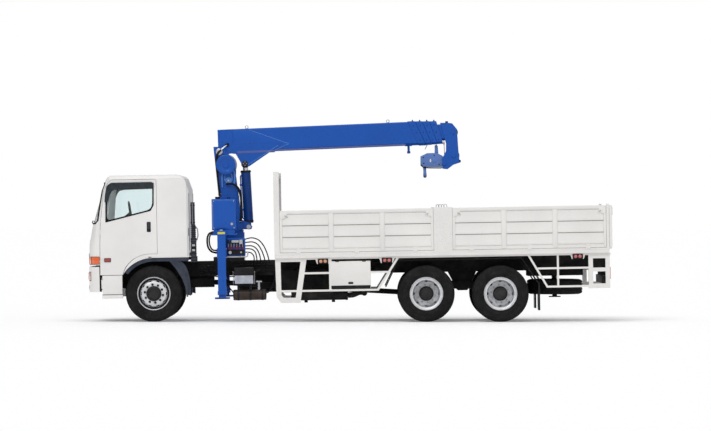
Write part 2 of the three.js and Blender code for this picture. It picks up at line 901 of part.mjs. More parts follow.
function tailgateSolid() {
  const z0 = gateHinge.z + 2.5;
  const half = bedHalfWidth - 10;
  const slab = box(tailgate.x0, tailgate.x1, -half, half, z0, gateTop);
  const bays = [-1, 0, 1].map((i) => {
    const centre = (i * half * 2) / 3;
    const reach = half / 3 - 45;
    return box(tailgate.x1 - 8, tailgate.x1 + 1, centre - reach, centre + reach, z0 + 60, gateTop - 70);
  });
  const knuckles = hingeSpots(-1180, 1180).map((y) =>
    join(
      cylinder(gateHinge.radius, [tailHingeX, y - 38, gateHinge.z], [tailHingeX, y + 38, gateHinge.z], 8),
      box(tailgate.x1 - 2, tailHingeX, y - 38, y + 38, gateHinge.z + 2.5, gateHinge.z + 7),
    ),
  );
  return join(slab.subtract(join(bays)), knuckles);
}

// ---------------------------------------------------------------- cab
// Side view of the nose at each height: its front at the middle, and where the flat side begins.
const noseLevels = [
  { z: 1048, front: 23, side: 246 },
  { z: 1424, front: 34, side: 250 },
  { z: 1787, front: 104, side: 262 },
  { z: 2420, front: 299, side: 336 },
  { z: 2606, front: 357, side: 440 },
];

// Joins outlines at rising heights, point to point, into one solid.
function loft(levels) {
  const bands = levels.slice(1).map((upper, i) => {
    const lower = levels[i];
    const geometry = extrude(lower.outline, upper.z - lower.z);
    const position = geometry.attributes.position;
    for (let v = 0; v < position.count; v++) {
      const x = position.getX(v);
      const y = position.getY(v);
      const match = lower.outline.findIndex(([a, b]) => Math.hypot(a - x, b - y) < 1e-3);
      const level = position.getZ(v) > 1e-6 ? upper : lower;
      position.setXYZ(v, ...level.outline[match], level.z);
    }
    return solidFrom(geometry);
  });
  return join(bands);
}

// Level outline of the cab: rounded nose, flat sides and a square back.
function cabOutline({ front, side }, thickness = 0) {
  const half = cabHalfWidth - thickness;
  const back = cabBack - thickness;
  const path = nose(front, side, thickness);
  return [...path, [back - 40, half], [back, half - 40], [back, -half + 40], [back - 40, -half]];
}

const cabLevels = (thickness, levels = noseLevels) =>
  levels.map((level) => ({ z: level.z, outline: cabOutline(level, thickness).reverse() }));

const screenOutline = [
  [-1062, 1812],
  [1062, 1812],
  [1110, 1866],
  [1092, 2500],
  [1052, 2545],
  [-1052, 2545],
  [-1092, 2500],
  [-1110, 1866],
];

const doorOutline = [
  [252, 867],
  [661, 867],
  [682, 940],
  [716, 1010],
  [765, 1071],
  [848, 1146],
  [945, 1200],
  [1040, 1230],
  [1132, 1243],
  [1295, 1243],
  [1295, 2560],
  [1284, 2587],
  [1257, 2598],
  [505, 2598],
  [462, 2586],
  [428, 2552],
  [346, 2420],
  [270, 1787],
  [257, 1424],
];
const doorThickness = 55;
const doorWindow = [
  [369, 1837],
  [1182, 2032],
  [1238, 2131],
  [1245, 2531],
  [480, 2499],
  [375, 2183],
];
const doorHinge = { x: 266, y: cabHalfWidth + 3, radius: 6, heights: [1120, 1620] };

function cabShell() {
  return loft(cabLevels(0)).subtract(loft(cabLevels(cabWall)));
}

// The region of the cab in front of the doors, seen from the side.
function noseRegion() {
  const edge = noseLevels.map(({ z, side }) => [side + 0.5, z]);
  edge[0][1] -= 10;
  edge.at(-1)[1] += 10;
  return sidePlate([[-50, 1030], ...edge, [-50, 2620]], -1200, 1200);
}

function cabFrontSolid() {
  const screen = crossPlate(screenOutline, -100, 700);
  const lugs = doorHinge.heights.map((z) =>
    join(
      box(238, 250, cabHalfWidth - 10, cabHalfWidth + 9, z - 12, z - gap),
      box(238, doorHinge.x, cabHalfWidth + gap, cabHalfWidth + 9, z - 12, z - gap),
    ),
  );
  const front = cabShell().intersect(noseRegion()).subtract(screen);
  return join(front, lugs, lugs.map(mirrorY));
}

function windscreenSolid() {
  const outer = loft(cabLevels(8));
  const inner = loft(cabLevels(16));
  const screen = crossPlate(inset(screenOutline, gap + 0.2), -100, 700);
  return outer.subtract(inner).intersect(screen);
}

function cabSideSolid() {
  const region = [
    [440, cabFloorBottom],
    [cabBack + 1, cabFloorBottom],
    [cabBack + 1, backLeanFrom],
    [cabBack + 1 - backLean, roofSeam - gap],
    [360, roofSeam - gap],
    [300, 2300],
    [275, 1700],
    [268, cabFloorBottom],
  ];
  const outerPlate = sidePlate(region, cabHalfWidth - cabWall, cabHalfWidth + 1);
  const opening = sidePlate(
    inset(doorOutline, -panelGap),
    cabHalfWidth - cabWall - 1,
    cabHalfWidth + 2,
  );
  const skin = cabShell().intersect(outerPlate).subtract(opening).subtract(noseRegionWide());
  const lining = sidePlate(
    [
      [330, cabFloorBottom],
      [cabBack - cabWall - gap, cabFloorBottom],
      [cabBack - cabWall - gap, backLeanFrom],
      [cabBack - cabWall - gap - backLean, roofSeam - gap],
      [460, roofSeam - gap],
      [400, 2420],
      [345, 1787],
    ],
    cabHalfWidth - cabWall - 30,
    cabHalfWidth - cabWall,
  );
  const doorway = sidePlate(
    [
      [400, 1300],
      [1240, 1300],
      [1240, 2550],
      [500, 2550],
      [450, 2420],
      [400, 1787],
    ],
    cabHalfWidth - cabWall - 31,
    cabHalfWidth - cabWall + 1,
  );
  return join(skin, lining.subtract(doorway));
}

function noseRegionWide() {
  const edge = noseLevels.map(({ z, side }) => [side + 1, z]);
  edge[0][1] = 1000;
  edge.at(-1)[1] += 10;
  return sidePlate([[-50, 1000], ...edge, [-50, 2620]], -1200, 1200);
}

function cabRoofSolid() {
  const base = noseLevels.at(-1);
  const leaned = (outline, lean) => outline.map(([x, y]) => [x > cabBack / 2 ? x - lean : x, y]);
  const ring = (z, inwards, lean) => ({
    z,
    outline: leaned(cabOutline(base, inwards), lean).reverse(),
  });
  const outer = loft([
    ring(roofSeam + gap, 0, backLean),
    ring(2652, 34, backLean + 15),
    ring(roofTop, 130, backLean + 8),
  ]);
  const cavity = loft([ring(roofSeam - 10, 60, backLean), ring(2630, 85, backLean + 8)]);
  return outer.subtract(cavity);
}

function cabBackSolid() {
  const half = cabHalfWidth - cabWall - 30.3;
  const front = cabBack - cabWall;
  const outline = [
    [front, cabFloorTop + gap],
    [cabBack, cabFloorTop + gap],
    [cabBack, backLeanFrom],
    [cabBack - backLean, roofSeam - gap],
    [front - backLean, roofSeam - gap],
    [front, backLeanFrom],
  ];
  return sidePlate(outline, -half, half);
}

function cabFloorSolid() {
  const half = cabHalfWidth - cabWall - 30.3;
  const floor = box(330, cabBack, -half, half, cabFloorBottom, cabFloorTop);
  const toe = planPlate(
    [
      [130, -880],
      [331, -1000],
      [331, 1000],
      [130, 880],
    ].reverse(),
    cabFloorBottom,
    cabFloorTop,
  );
  const hump = box(520, 1560, -290, 290, cabFloorTop - 5, 1340);
  const y0 = railOuterY + 14;
  const arm = join(
    slantBar([tiltPivot.x, tiltPivot.z], [270, 1078], 50, y0, y0 + 36),
    cylinder(27, [tiltPivot.x, y0, tiltPivot.z], [tiltPivot.x, y0 + 36, tiltPivot.z], 12),
    box(232, 290, y0, y0 + 36, 1050, cabFloorBottom + 5),
  ).subtract(
    bore(tiltPinRadius, [tiltPivot.x, y0 - 1, tiltPivot.z], [tiltPivot.x, y0 + 37, tiltPivot.z]),
  );
  return join(floor, toe, hump, arm, mirrorY(arm));
}

function doorSolid() {
  const inner = cabHalfWidth - doorThickness;
  const slab = sidePlate(doorOutline, inner, cabHalfWidth);
  const window = sidePlate(doorWindow, inner - 1, cabHalfWidth + 1);
  const hinges = doorHinge.heights.map((z) =>
    join(
      cylinder(doorHinge.radius, [doorHinge.x, doorHinge.y, z], [doorHinge.x, doorHinge.y, z + 70], 8),
      box(doorHinge.x, doorHinge.x + 30, cabHalfWidth - 3, doorHinge.y + 3, z, z + 70),
    ),
  );
  return join(slab.subtract(window), hinges);
}

function doorGlassSolid() {
  return sidePlate(inset(doorWindow, gap), cabHalfWidth - 32, cabHalfWidth - 26);
}

function dashboardSolid() {
  const fascia = sidePlate(
    [
      [150, 1560],
      [330, 1500],
      [430, 1600],
      [440, 1740],
      [400, 1790],
      [205, 1800],
    ],
    -880,
    880,
  );
  const pedestal = box(180, 330, -250, 250, cabFloorTop + gap, 1560);
  const wheelCentre = [790, -520, 1985];
  const wheelTilt = 8;
  const column = cylinder(35, [380, -520, 1640], wheelCentre, 8);
  const ring = new THREE.TorusGeometry(215, 15, 6, 18);
  ring.rotateY(degrees(90 - wheelTilt));
  ring.translate(...wheelCentre);
  const spoke = box(-12, 12, -212, 212, -30, 30).rotate([0, -wheelTilt, 0]).translate(wheelCentre);
  return join(fascia, pedestal, column, solidFrom(ring), spoke);
}

function seatsSolid() {
  const seat = sidePlate(
    [
      [860, 1600],
      [1340, 1560],
      [1470, 2260],
      [1560, 2250],
      [1470, 1500],
      [1420, 1440],
      [880, 1480],
    ].reverse(),
    270,
    790,
  );
  const stand = box(980, 1360, 380, 680, cabFloorTop + gap, 1480);
  const half = join(seat, stand);
  const rail = box(1360, 1440, -400, 400, 1380, 1460);
  const brace = box(1340, 1400, -400, 400, 1341, 1400);
  return join(half, mirrorY(half), rail, brace);
}

// ---------------------------------------------------------------- crane
const tankFront = 2296;

function craneBaseSolid() {
  const { width, bottom, top, wall, halfLength } = outriggerBox;
  const x0 = outriggerX - width / 2;
  const x1 = outriggerX + width / 2;
  const subframe = box(2296, 2860, -railOuterY, railOuterY, railTop + gap, bottom + 5);
  const housing = box(x0, x1, -halfLength, halfLength, bottom, top);
  const tunnel = box(
    x0 + wall,
    x1 - wall,
    -halfLength - 1,
    halfLength + 1,
    bottom + wall,
    top - wall,
  );
  const pedestal = crossPlate(
    [
      [-400, 1145],
      [400, 1145],
      [250, 1480],
      [250, 1600],
      [-250, 1600],
      [-250, 1480],
    ],
    x1 - 5,
    2860,
  );
  const turret = cylinder(260, [slewAxisX, 0, 1590], [slewAxisX, 0, columnBottom - gap], 20);
  const over = box(x0, 2860, -250, 250, top - 5, 1600);
  const tank = crossPlate(
    rounded(
      [
        [-1010, 1650],
        [-620, 1650],
        [-620, 2222],
        [-1010, 2222],
      ],
      50,
    ),
    tankFront,
    2732,
  );
  const skirt = box(tankFront + 30, 2702, -990, -640, 1560, 1655);
  const tankLeg = box(x0, x1, -900, -740, top - 5, 1570);
  const valves = box(2560, 2860, -960, -700, 1180, 1480);
  const valveArm = box(x1 - 5, 2600, -900, -760, 1190, 1290);
  const body = join(subframe, housing, pedestal, over, tank, skirt, tankLeg, valves, valveArm, turret);
  return body.subtract(tunnel);
}

function craneColumnSolid() {
  const lower = sidePlate(
    [
      [2380, columnBottom],
      [2830, columnBottom],
      [2790, 2050],
      [2770, 2286],
      [2405, 2250],
    ],
    -cheekOuterY,
    cheekOuterY,
  );
  const cheekOutline = [
    [2405, 2238],
    [2770, 2240],
    [2722, 2651],
    [2728, 2830],
    [2690, 2960],
    [2560, 3080],
    [2500, 3186],
    [2322, 3186],
  ];
  const cheek = sidePlate(cheekOutline, cheekInnerY, cheekOuterY);
  const drum = cylinder(150, [2548, -cheekInnerY - 5, 2850], [2548, cheekInnerY + 5, 2850], 16);
  const gearcase = cylinder(178, [2548, -262, 2850], [2548, -cheekOuterY + 5, 2850], 16);
  const pin = cylinder(
    42,
    [boomPivot.x, -cheekOuterY - 25, boomPivot.z],
    [boomPivot.x, cheekOuterY + 25, boomPivot.z],
    pinSides,
  );
  const lugOutline = [
    [2780, 1655],
    [2990, 1655],
    [3008, 1701],
    [2975, 1760],
    [2790, 1850],
  ];
  const lug = sidePlate(lugOutline, barrelRadius + 12, barrelRadius + 42);
  const liftPin = cylinder(
    30,
    [liftPinOnColumn.x, -barrelRadius - 45, liftPinOnColumn.z],
    [liftPinOnColumn.x, barrelRadius + 45, liftPinOnColumn.z],
    pinSides,
  );
  return join(lower, cheek, mirrorY(cheek), drum, gearcase, pin, lug, mirrorY(lug), liftPin);
}

const sectionCount = 5;

function sectionSize(k) {
  const shrink = (k * sectionStep) / 2;
  return {
    half: boomBase.width / 2 - shrink,
    bottom: boomBase.bottom + shrink,
    top: boomBase.top - shrink,
  };
}

function sectionOutline({ half, bottom, top }) {
  const low = 42;
  const high = 20;
  return [
    [-half + low, bottom],
    [half - low, bottom],
    [half, bottom + low],
    [half, top - high],
    [half - high, top],
    [-half + high, top],
    [-half, top - high],
    [-half, bottom + low],
  ];
}

const collarFront = (k) => ({
  top: collarTopX + collarPitch * k,
  slant: collarSlant - collarTurn * k,
});

// The part of a section that lies between two slanted faces, seen from the side.
function betweenFaces(back, front) {
  const height = boomBase.top - boomBase.bottom;
  const at = (face, z) => face.top + (face.slant * (boomBase.top - z)) / height;
  const low = boomBase.bottom - 40;
  const high = boomBase.top + 40;
  return sidePlate(
    [
      [at(back, low), low],
      [at(front, low), low],
      [at(front, high), high],
      [at(back, high), high],
    ],
    -300,
    300,
  );
}

// The ring that ends a section: slanted faces, and a throat for the next section.
function collarSolid(k) {
  const size = sectionSize(k);
  const outer = {
    half: size.half + 10,
    bottom: boomBase.bottom - 8 + 5 * k,
    top: boomBase.top + 10 - 5 * k,
  };
  const front = collarFront(k);
  const back = { top: front.top - collarPitch + 4, slant: front.slant + (k ? collarTurn : 0) };
  const next = sectionSize(k + 1);
  const mouth = {
    half: next.half + slideGap,
    bottom: next.bottom - slideGap,
    top: next.top + slideGap,
  };
  const ring = crossPlate(sectionOutline(outer), collarTopX - 400, 4600);
  const throat = crossPlate(sectionOutline(mouth), collarTopX - 401, 4601);
  return ring.subtract(throat).intersect(betweenFaces(back, front));
}

function tubeSolid(k, rear, front) {
  const size = sectionSize(k);
  const inside = {
    half: size.half - boomBase.wall,
    bottom: size.bottom + boomBase.wall,
    top: size.top - boomBase.wall,
  };
  const outer = crossPlate(sectionOutline(size), rear, 4600);
  return outer
    .subtract(crossPlate(sectionOutline(inside), rear - 1, 4601))
    .intersect(betweenFaces({ top: -900, slant: 0 }, front));
}

const sectionRear = (k) => (k === 0 ? -18 : 60 + 40 * k);

function boomSectionSolid(k) {
  return join(tubeSolid(k, sectionRear(k), collarFront(k)), collarSolid(k));
}

function baseSectionSolid() {
  const body = boomSectionSolid(0);
  const heel = sidePlate(
    [
      [-18, 92],
      [-60, -40],
      [-40, -60],
      [60, -60],
      [260, boomBase.bottom + 2],
      [260, boomBase.top],
      [44, boomBase.top],
    ],
    boomBase.width / 2 - 4,
    cheekInnerY - 6,
  );
  const side = sidePlate(
    [
      [100, -20],
      [299, -49],
      [417, -272],
      [534, -287],
      [1171, 115],
      [600, 130],
      [100, 130],
    ],
    boomBase.width / 2 - 4,
    cheekInnerY - 6,
  );
  const plates = join(heel, side);
  const pivotBore = bore(42, [0, -200, 0], [0, 200, 0]);
  const bosses = [1, -1].map((sign) =>
    cylinder(
      34,
      [liftPinOnBoom.x, sign * 110, liftPinOnBoom.z],
      [liftPinOnBoom.x, sign * (cheekInnerY - 7), liftPinOnBoom.z],
      12,
    ),
  );
  const cap = box(-18, 20, -boomBase.width / 2 + 4, boomBase.width / 2 - 4, 60, 380);
  const peg = cylinder(22, [3493, 0, -157], [3493, 0, -20], 8);
  return join(body, plates, mirrorY(plates), bosses, cap, peg).subtract(pivotBore);
}

function tipSectionSolid() {
  const k = sectionCount - 1;
  const tube = tubeSolid(k, sectionRear(k), { top: 4120, slant: 60 });
  const headOutline = [
    [4095, 366],
    [4189, -20],
    [4183, -157],
    [4104, -300],
    [4106, -482],
    [4196, -495],
    [4309, -417],
    [4447, -378],
    [4422, -331],
    [4410, -167],
    [4400, 235],
    [4314, 347],
    [4241, 360],
  ];
  const { half } = sectionSize(k);
  const cheek = sidePlate(headOutline, half - 8, half + 14);
  const core = sidePlate(
    [
      [4095, 366],
      [4189, -20],
      [4400, -20],
      [4400, 235],
      [4314, 347],
      [4241, 360],
    ],
    2 - half,
    half - 2,
  );
  const pins = join(
    cylinder(26, [hookPin.x, -half - 18, hookPin.z], [hookPin.x, half + 18, hookPin.z], pinSides),
    cylinder(95, [4315, 6 - half, -250], [4315, half - 6, -250], 14),
  );
  return join(tube, cheek, mirrorY(cheek), core, pins);
}

function hookBlockSolid() {
  const body = sidePlate(
    [
      [3706, -237],
      [3700, -383],
      [3761, -440],
      [3870, -454],
      [4070, -462],
      [4150, -440],
      [4176, -390],
      [4150, -310],
      [4116, -245],
      [4009, -186],
      [3827, -184],
    ],
    -55,
    55,
  ).subtract(bore(26, [hookPin.x, -60, hookPin.z], [hookPin.x, 60, hookPin.z]));
  const neck = box(3970, 4040, -22, 22, -200, -48);
  const hook = sidePlate(
    [
      [3752, -420],
      [3752, -520],
      [3735, -560],
      [3755, -610],
      [3800, -618],
      [3840, -590],
      [3852, -550],
      [3830, -545],
      [3815, -575],
      [3785, -580],
      [3775, -555],
      [3792, -520],
      [3792, -420],
    ],
    -18,
    18,
  );
  return join(body, neck, hook);
}

// The lift cylinder is modelled along +Z from its lower pin, and turned to its stowed lean.
const liftRest = (() => {
  const cos = Math.cos(boomAngle);
  const sin = Math.sin(boomAngle);
  const top = {
    x: boomPivot.x + liftPinOnBoom.x * cos - liftPinOnBoom.z * sin,
    z: boomPivot.z + liftPinOnBoom.x * sin + liftPinOnBoom.z * cos,
  };
  const dx = top.x - liftPinOnColumn.x;
  const dz = top.z - liftPinOnColumn.z;
  return { length: Math.hypot(dx, dz), lean: Math.atan2(dx, dz) };
})();
const rodRadius = 50;

function barrelSolid() {
  const tube = cylinder(barrelRadius, [0, 0, 70], [0, 0, 1012], 16);
  const bored = cylinder(rodRadius + 6, [0, 0, 150], [0, 0, 950], 12);
  const mouth = bore(rodRadius, [0, 0, 940], [0, 0, 1013]);
  const eye = cylinder(52, [0, -70, 0], [0, 70, 0], 12);
  const neck = box(-45, 45, -60, 60, 0, 75);
  const pinBore = bore(30, [0, -90, 0], [0, 90, 0]);
  return join(tube.subtract(join(bored, mouth)), eye, neck).subtract(pinBore);
}

function rodSolid() {
  const rod = cylinder(rodRadius, [0, 0, 170], [0, 0, liftRest.length - 30], pinSides);
  const eye = cylinder(66, [0, -60, liftRest.length], [0, 60, liftRest.length], 12);
  const pinBore = cylinder(36, [0, -61, liftRest.length], [0, 61, liftRest.length], 12);
  return join(rod, eye).subtract(pinBore);
}

function outriggerBeamSolid() {
  const { width, bottom, top, wall, halfLength } = outriggerBox;
  const clear = wall + slideGap;
  const beam = box(
    outriggerX - width / 2 + clear,
    outriggerX + width / 2 - clear,
    110,
    jackTube.y - jackTube.side / 2 + 5,
    bottom + clear,
    top - clear,
  );
  const half = jackTube.side / 2;
  const x0 = outriggerX - half;
  const x1 = outriggerX + half;
  const tube = box(x0, x1, jackTube.y - half, jackTube.y + half, jackTube.bottom, jackTube.top);
  const inner = half - jackTube.wall;
  const bored = box(
    outriggerX - inner,
    outriggerX + inner,
    jackTube.y - inner,
    jackTube.y + inner,
    jackTube.bottom - 1,
    jackTube.top - 20,
  );
  return join(beam, tube).subtract(bored);
}

function jackLegSolid() {
  const inner = jackTube.side / 2 - jackTube.wall - slideGap;
  const leg = box(
    outriggerX - inner,
    outriggerX + inner,
    jackTube.y - inner,
    jackTube.y + inner,
    jackFoot.bottom + 10,
    jackTube.top - 40,
  );
  const half = jackFoot.side / 2;
  const foot = box(
    outriggerX - half,
    outriggerX + half,
    jackTube.y - half,
    jackTube.y + half,
    jackFoot.bottom,
    jackFoot.bottom + jackFoot.thickness,
  );
  return join(leg, foot);
}

// ---------------------------------------------------------------- assembly
function cabGroup() {
  const pieces = [
    piece("cab_floor", cabFloorSolid(), trim.black),
    piece("cab_back", cabBackSolid(), trim.white),
    piece("cab_roof", cabRoofSolid(), trim.white),
    piece("cab_front", cabFrontSolid(), trim.white),
    piece("windscreen", windscreenSolid(), trim.glass),
    piece("dashboard", dashboardSolid(), trim.plastic),
    piece("seats", seatsSolid(), trim.seat),
  ];
  const doors = sides.map((side) => {
    pieces.push(piece(`cab_${side.name}_side`, onSide(side, cabSideSolid()), trim.white));
    const door = piece(`${side.name}_door`, onSide(side, doorSolid()), trim.white);
    const glass = piece(`${side.name}_door_glass`, onSide(side, doorGlassSolid()), trim.glass);
    return jointAt(
      `${side.name}_door_hinge`,
      doorHinge.x,
      side.sign * doorHinge.y,
      cabFloorTop,
      door,
      glass,
    );
  });
  return jointAt("cab_tilt", tiltPivot.x, 0, tiltPivot.z, pieces, doors);
}

// Boom sections in the boom's own frame: origin at the pivot, x along the boom.
function boomGroup() {
  let inner = null;
  for (let k = sectionCount - 1; k >= 1; k--) {
    const solid = k === sectionCount - 1 ? tipSectionSolid() : boomSectionSolid(k);
    const members = [piece(`boom_section_${k + 1}`, solid, trim.blue)];
    if (inner) members.push(inner);
    if (!inner) {
      const hook = piece("hook_block", hookBlockSolid(), trim.blue);
      members.push(jointAt("hook_swing", hookPin.x, 0, hookPin.z, hook));
    }
    inner = jointAt(`boom_extend_${k + 1}`, 0, 0, 0, members);
  }
  const group = new THREE.Group();
  group.name = "boom_lift";
  group.add(piece("boom_section_1", baseSectionSolid(), trim.blue), inner);
  group.position.set(boomPivot.x, 0, boomPivot.z);
  group.rotation.y = -boomAngle;
  return group;
}

function liftCylinderGroup() {
  const group = new THREE.Group();
  group.name = "lift_barrel_swing";
  const rodSlide = new THREE.Group();
  rodSlide.name = "lift_rod_slide";
  rodSlide.add(piece("lift_rod", rodSolid(), trim.steel));
  group.add(piece("lift_barrel", barrelSolid(), trim.blue), rodSlide);
  group.position.set(liftPinOnColumn.x, 0, liftPinOnColumn.z);
  group.rotation.y = liftRest.lean;
  return group;
}

function craneGroup() {
  const group = new THREE.Group();
  group.add(piece("crane_base", craneBaseSolid(), trim.blue));
  const column = piece("crane_column", craneColumnSolid(), trim.blue);
  group.add(
    jointAt("slew", slewAxisX, 0, columnBottom, column, boomGroup(), liftCylinderGroup()),
  );
  sides.forEach((side) => {
    const beam = piece(`outrigger_beam_${side.name}`, onSide(side, outriggerBeamSolid()), trim.blue);
    const leg = piece(`jack_leg_${side.name}`, onSide(side, jackLegSolid()), trim.black);
    const drop = jointAt(
      `jack_${side.name}_drop`,
      outriggerX,
      side.sign * jackTube.y,
      jackTube.bottom,
      leg,
    );
    group.add(
      jointAt(
        `outrigger_${side.name}_slide`,
        outriggerX,
        side.sign * outriggerBox.halfLength,
        outriggerBox.bottom,
        beam,
        drop,
      ),
    );
  });
  return group;
}

function bedGroup() {
  const group = new THREE.Group();
  group.add(piece("bed_deck", bedDeckSolid(), trim.white));
  group.add(piece("headboard", headboardSolid(), trim.white));
  sides.forEach((side) => {
    gateRanges.forEach(({ name, x0, x1 }) => {
      const gate = piece(`gate_${side.name}_${name}`, onSide(side, gateSolid(x0, x1)), trim.white);
      group.add(
        jointAt(
          `gate_${side.name}_${name}_hinge`,
          (x0 + x1) / 2,
          side.sign * gateHinge.y,
          gateHinge.z,
          gate,
        ),
      );
    });
  });
  const tail = piece("tailgate", tailgateSolid(), trim.white);
  group.add(jointAt("tailgate_hinge", tailHingeX, 0, gateHinge.z, tail));
  return group;
}

function sprungGroup() {
  const group = new THREE.Group();
  group.add(piece("chassis_frame", chassisFrameSolid(), trim.black));
  group.add(piece("powertrain", powertrainSolid(), trim.plastic));
  group.add(piece("front_bumper", frontBumperSolid(), trim.white));
  group.add(piece("fuel_tank", fuelTankSolid(), trim.steel));
  group.add(piece("battery_box", mirrorY(batteryBoxSolid()), trim.plastic));
  group.add(piece("silencer", mirrorY(silencerSolid()), trim.black));
  group.add(piece("air_intake", mirrorY(airIntakeSolid()), trim.black));
  group.add(piece("rear_underrun", rearUnderrunSolid(), trim.white));
  const spare = frontWheelSolid().rotate([90, 0, 0]).translate([spareX + 30, 0, spareZ]);
  group.add(piece("spare_wheel", spare, trim.rubber));
  sides.forEach((side) => {
    const pieces = {
      front_mudguard: [frontMudguardSolid(), trim.plastic],
      rear_mudguard: [rearMudguardSolid(), trim.rubber],
      side_guard: [sideGuardSolid(), trim.white],
    };
    Object.entries(pieces).forEach(([name, [solid, finish]]) => {
      group.add(piece(`${name}_${side.name}`, onSide(side, solid), finish));
    });
  });
  group.add(bedGroup(), cabGroup(), craneGroup());
  group.children.forEach((child) => (child.position.x -= frontAxleX));
  group.position.x = frontAxleX;
  group.rotation.y = -rakeAngle;
  return group;
}

const truck = new THREE.Group();
truck.add(runningGear(), sprungGroup());

// The frame's origin is the middle of the underside of the whole truck.
const bounds = new THREE.Box3().setFromObject(truck, true);
const middle = bounds.getCenter(new THREE.Vector3());
truck.position.set(-middle.x, 0, -bounds.min.z);
truck.updateMatrixWorld(true);

export default truck;
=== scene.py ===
"""Looks of a 6x4 flatbed truck with a telescopic loader crane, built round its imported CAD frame.

Sizes are millimetres in one of three local frames, and metres once they reach Blender:
SPRUNG is level with the raked chassis, its zero X at the nose, as in the part's source;
BOOM starts at the boom's pivot and runs along the boom; LIFT runs along the lift cylinder.
"""

import json
import math
import random

import bmesh
import bpy
from mathutils import Matrix, Vector

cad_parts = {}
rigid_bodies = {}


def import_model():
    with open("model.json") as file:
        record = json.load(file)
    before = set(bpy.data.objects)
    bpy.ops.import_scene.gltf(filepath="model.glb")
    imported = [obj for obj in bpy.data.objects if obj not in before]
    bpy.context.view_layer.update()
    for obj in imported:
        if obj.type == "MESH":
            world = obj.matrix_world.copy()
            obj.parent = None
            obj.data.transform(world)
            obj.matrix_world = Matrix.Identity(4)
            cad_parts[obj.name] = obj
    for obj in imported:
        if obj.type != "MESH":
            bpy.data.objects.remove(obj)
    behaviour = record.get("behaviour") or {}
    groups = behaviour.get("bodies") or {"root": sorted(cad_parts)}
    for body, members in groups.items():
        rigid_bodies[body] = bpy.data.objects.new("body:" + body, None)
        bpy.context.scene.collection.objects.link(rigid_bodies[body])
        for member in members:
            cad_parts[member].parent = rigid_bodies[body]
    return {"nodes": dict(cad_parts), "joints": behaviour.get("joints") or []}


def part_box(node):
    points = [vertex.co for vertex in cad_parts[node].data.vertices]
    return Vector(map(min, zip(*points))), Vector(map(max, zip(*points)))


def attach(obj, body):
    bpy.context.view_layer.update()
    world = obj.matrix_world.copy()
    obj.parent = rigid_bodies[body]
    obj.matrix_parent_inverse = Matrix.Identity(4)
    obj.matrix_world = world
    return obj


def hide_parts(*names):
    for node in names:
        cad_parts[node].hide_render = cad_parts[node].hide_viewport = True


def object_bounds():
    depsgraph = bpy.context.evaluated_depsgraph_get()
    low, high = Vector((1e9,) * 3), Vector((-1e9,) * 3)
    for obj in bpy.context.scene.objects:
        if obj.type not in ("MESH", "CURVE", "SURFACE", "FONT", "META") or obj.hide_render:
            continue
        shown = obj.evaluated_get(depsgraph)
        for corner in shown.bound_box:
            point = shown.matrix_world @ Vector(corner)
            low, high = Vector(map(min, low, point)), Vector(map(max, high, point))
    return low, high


for leftover in list(bpy.data.objects):
    bpy.data.objects.remove(leftover)

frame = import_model()
cad_low, cad_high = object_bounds()
nodes = frame["nodes"]
joints = {joint["name"]: joint for joint in frame["joints"]}
random.seed(7)

SIDES = {"left": -1, "right": 1}
MM = 0.001

# ---------------------------------------------------------------- local frames


def spot(name):
    return Vector(joints[name]["pos_m"])


def turned(origin, lean):
    """A frame in millimetres at origin, its X axis raised by lean."""
    return Matrix.Translation(origin) @ Matrix.Rotation(-lean, 4, "Y") @ Matrix.Scale(MM, 4)


slew_axis = Vector(joints["slew"]["axis"])
boom_axis = Vector(joints["boom_extend_2"]["axis"])
lift_axis = Vector(joints["lift_rod_slide"]["axis"])
RAKE = math.atan2(-slew_axis.x, slew_axis.z)
FRONT_AXLE_X = 1210
steer = spot("left_steer")
SPRUNG = turned((steer.x, 0, 0), RAKE) @ Matrix.Translation((-FRONT_AXLE_X, 0, 0))
BOOM = turned(spot("boom_lift"), math.atan2(boom_axis.z, boom_axis.x))
LIFT = turned(spot("lift_barrel_swing"), math.atan2(-lift_axis.x, lift_axis.z))
LEVEL = Matrix.Scale(MM, 4)


def sprung_box(node):
    """Lowest and highest corner of a CAD node in the sprung frame, from its own vertices."""
    points = [SPRUNG.inverted() @ v.co for v in nodes[node].data.vertices]
    low = Vector(min(p[i] for p in points) for i in range(3))
    high = Vector(max(p[i] for p in points) for i in range(3))
    return low, high


# ---------------------------------------------------------------- camera
# Side on, from far away, at a standing photographer's eye height.
VIEW_WIDTH = 12.94  # metres across the picture at the truck's near side
VIEW_DISTANCE = 80.0
EYE_HEIGHT = 2.0
VIEW_CENTRE = Vector((0.098, cad_low.y, 1.94))

camera = bpy.data.objects.new("camera", bpy.data.cameras.new("camera"))
bpy.context.scene.collection.objects.link(camera)
camera.data.sensor_width = 36
camera.data.lens = camera.data.sensor_width * VIEW_DISTANCE / VIEW_WIDTH
camera.location = (VIEW_CENTRE.x, VIEW_CENTRE.y - VIEW_DISTANCE, EYE_HEIGHT)
camera.rotation_euler = (VIEW_CENTRE - camera.location).to_track_quat("-Z", "Y").to_euler()
camera.data.clip_end = 1000
bpy.context.scene.camera = camera

# ---------------------------------------------------------------- materials


def srgb(red, green, blue):
    """A screen colour, 0 to 255, as linear light."""
    return tuple(((c / 255 + 0.055) / 1.055) ** 2.4 for c in (red, green, blue)) + (1.0,)


def scaled(colour, share):
    return tuple(min(1.0, c * share) for c in colour[:3]) + (1.0,)


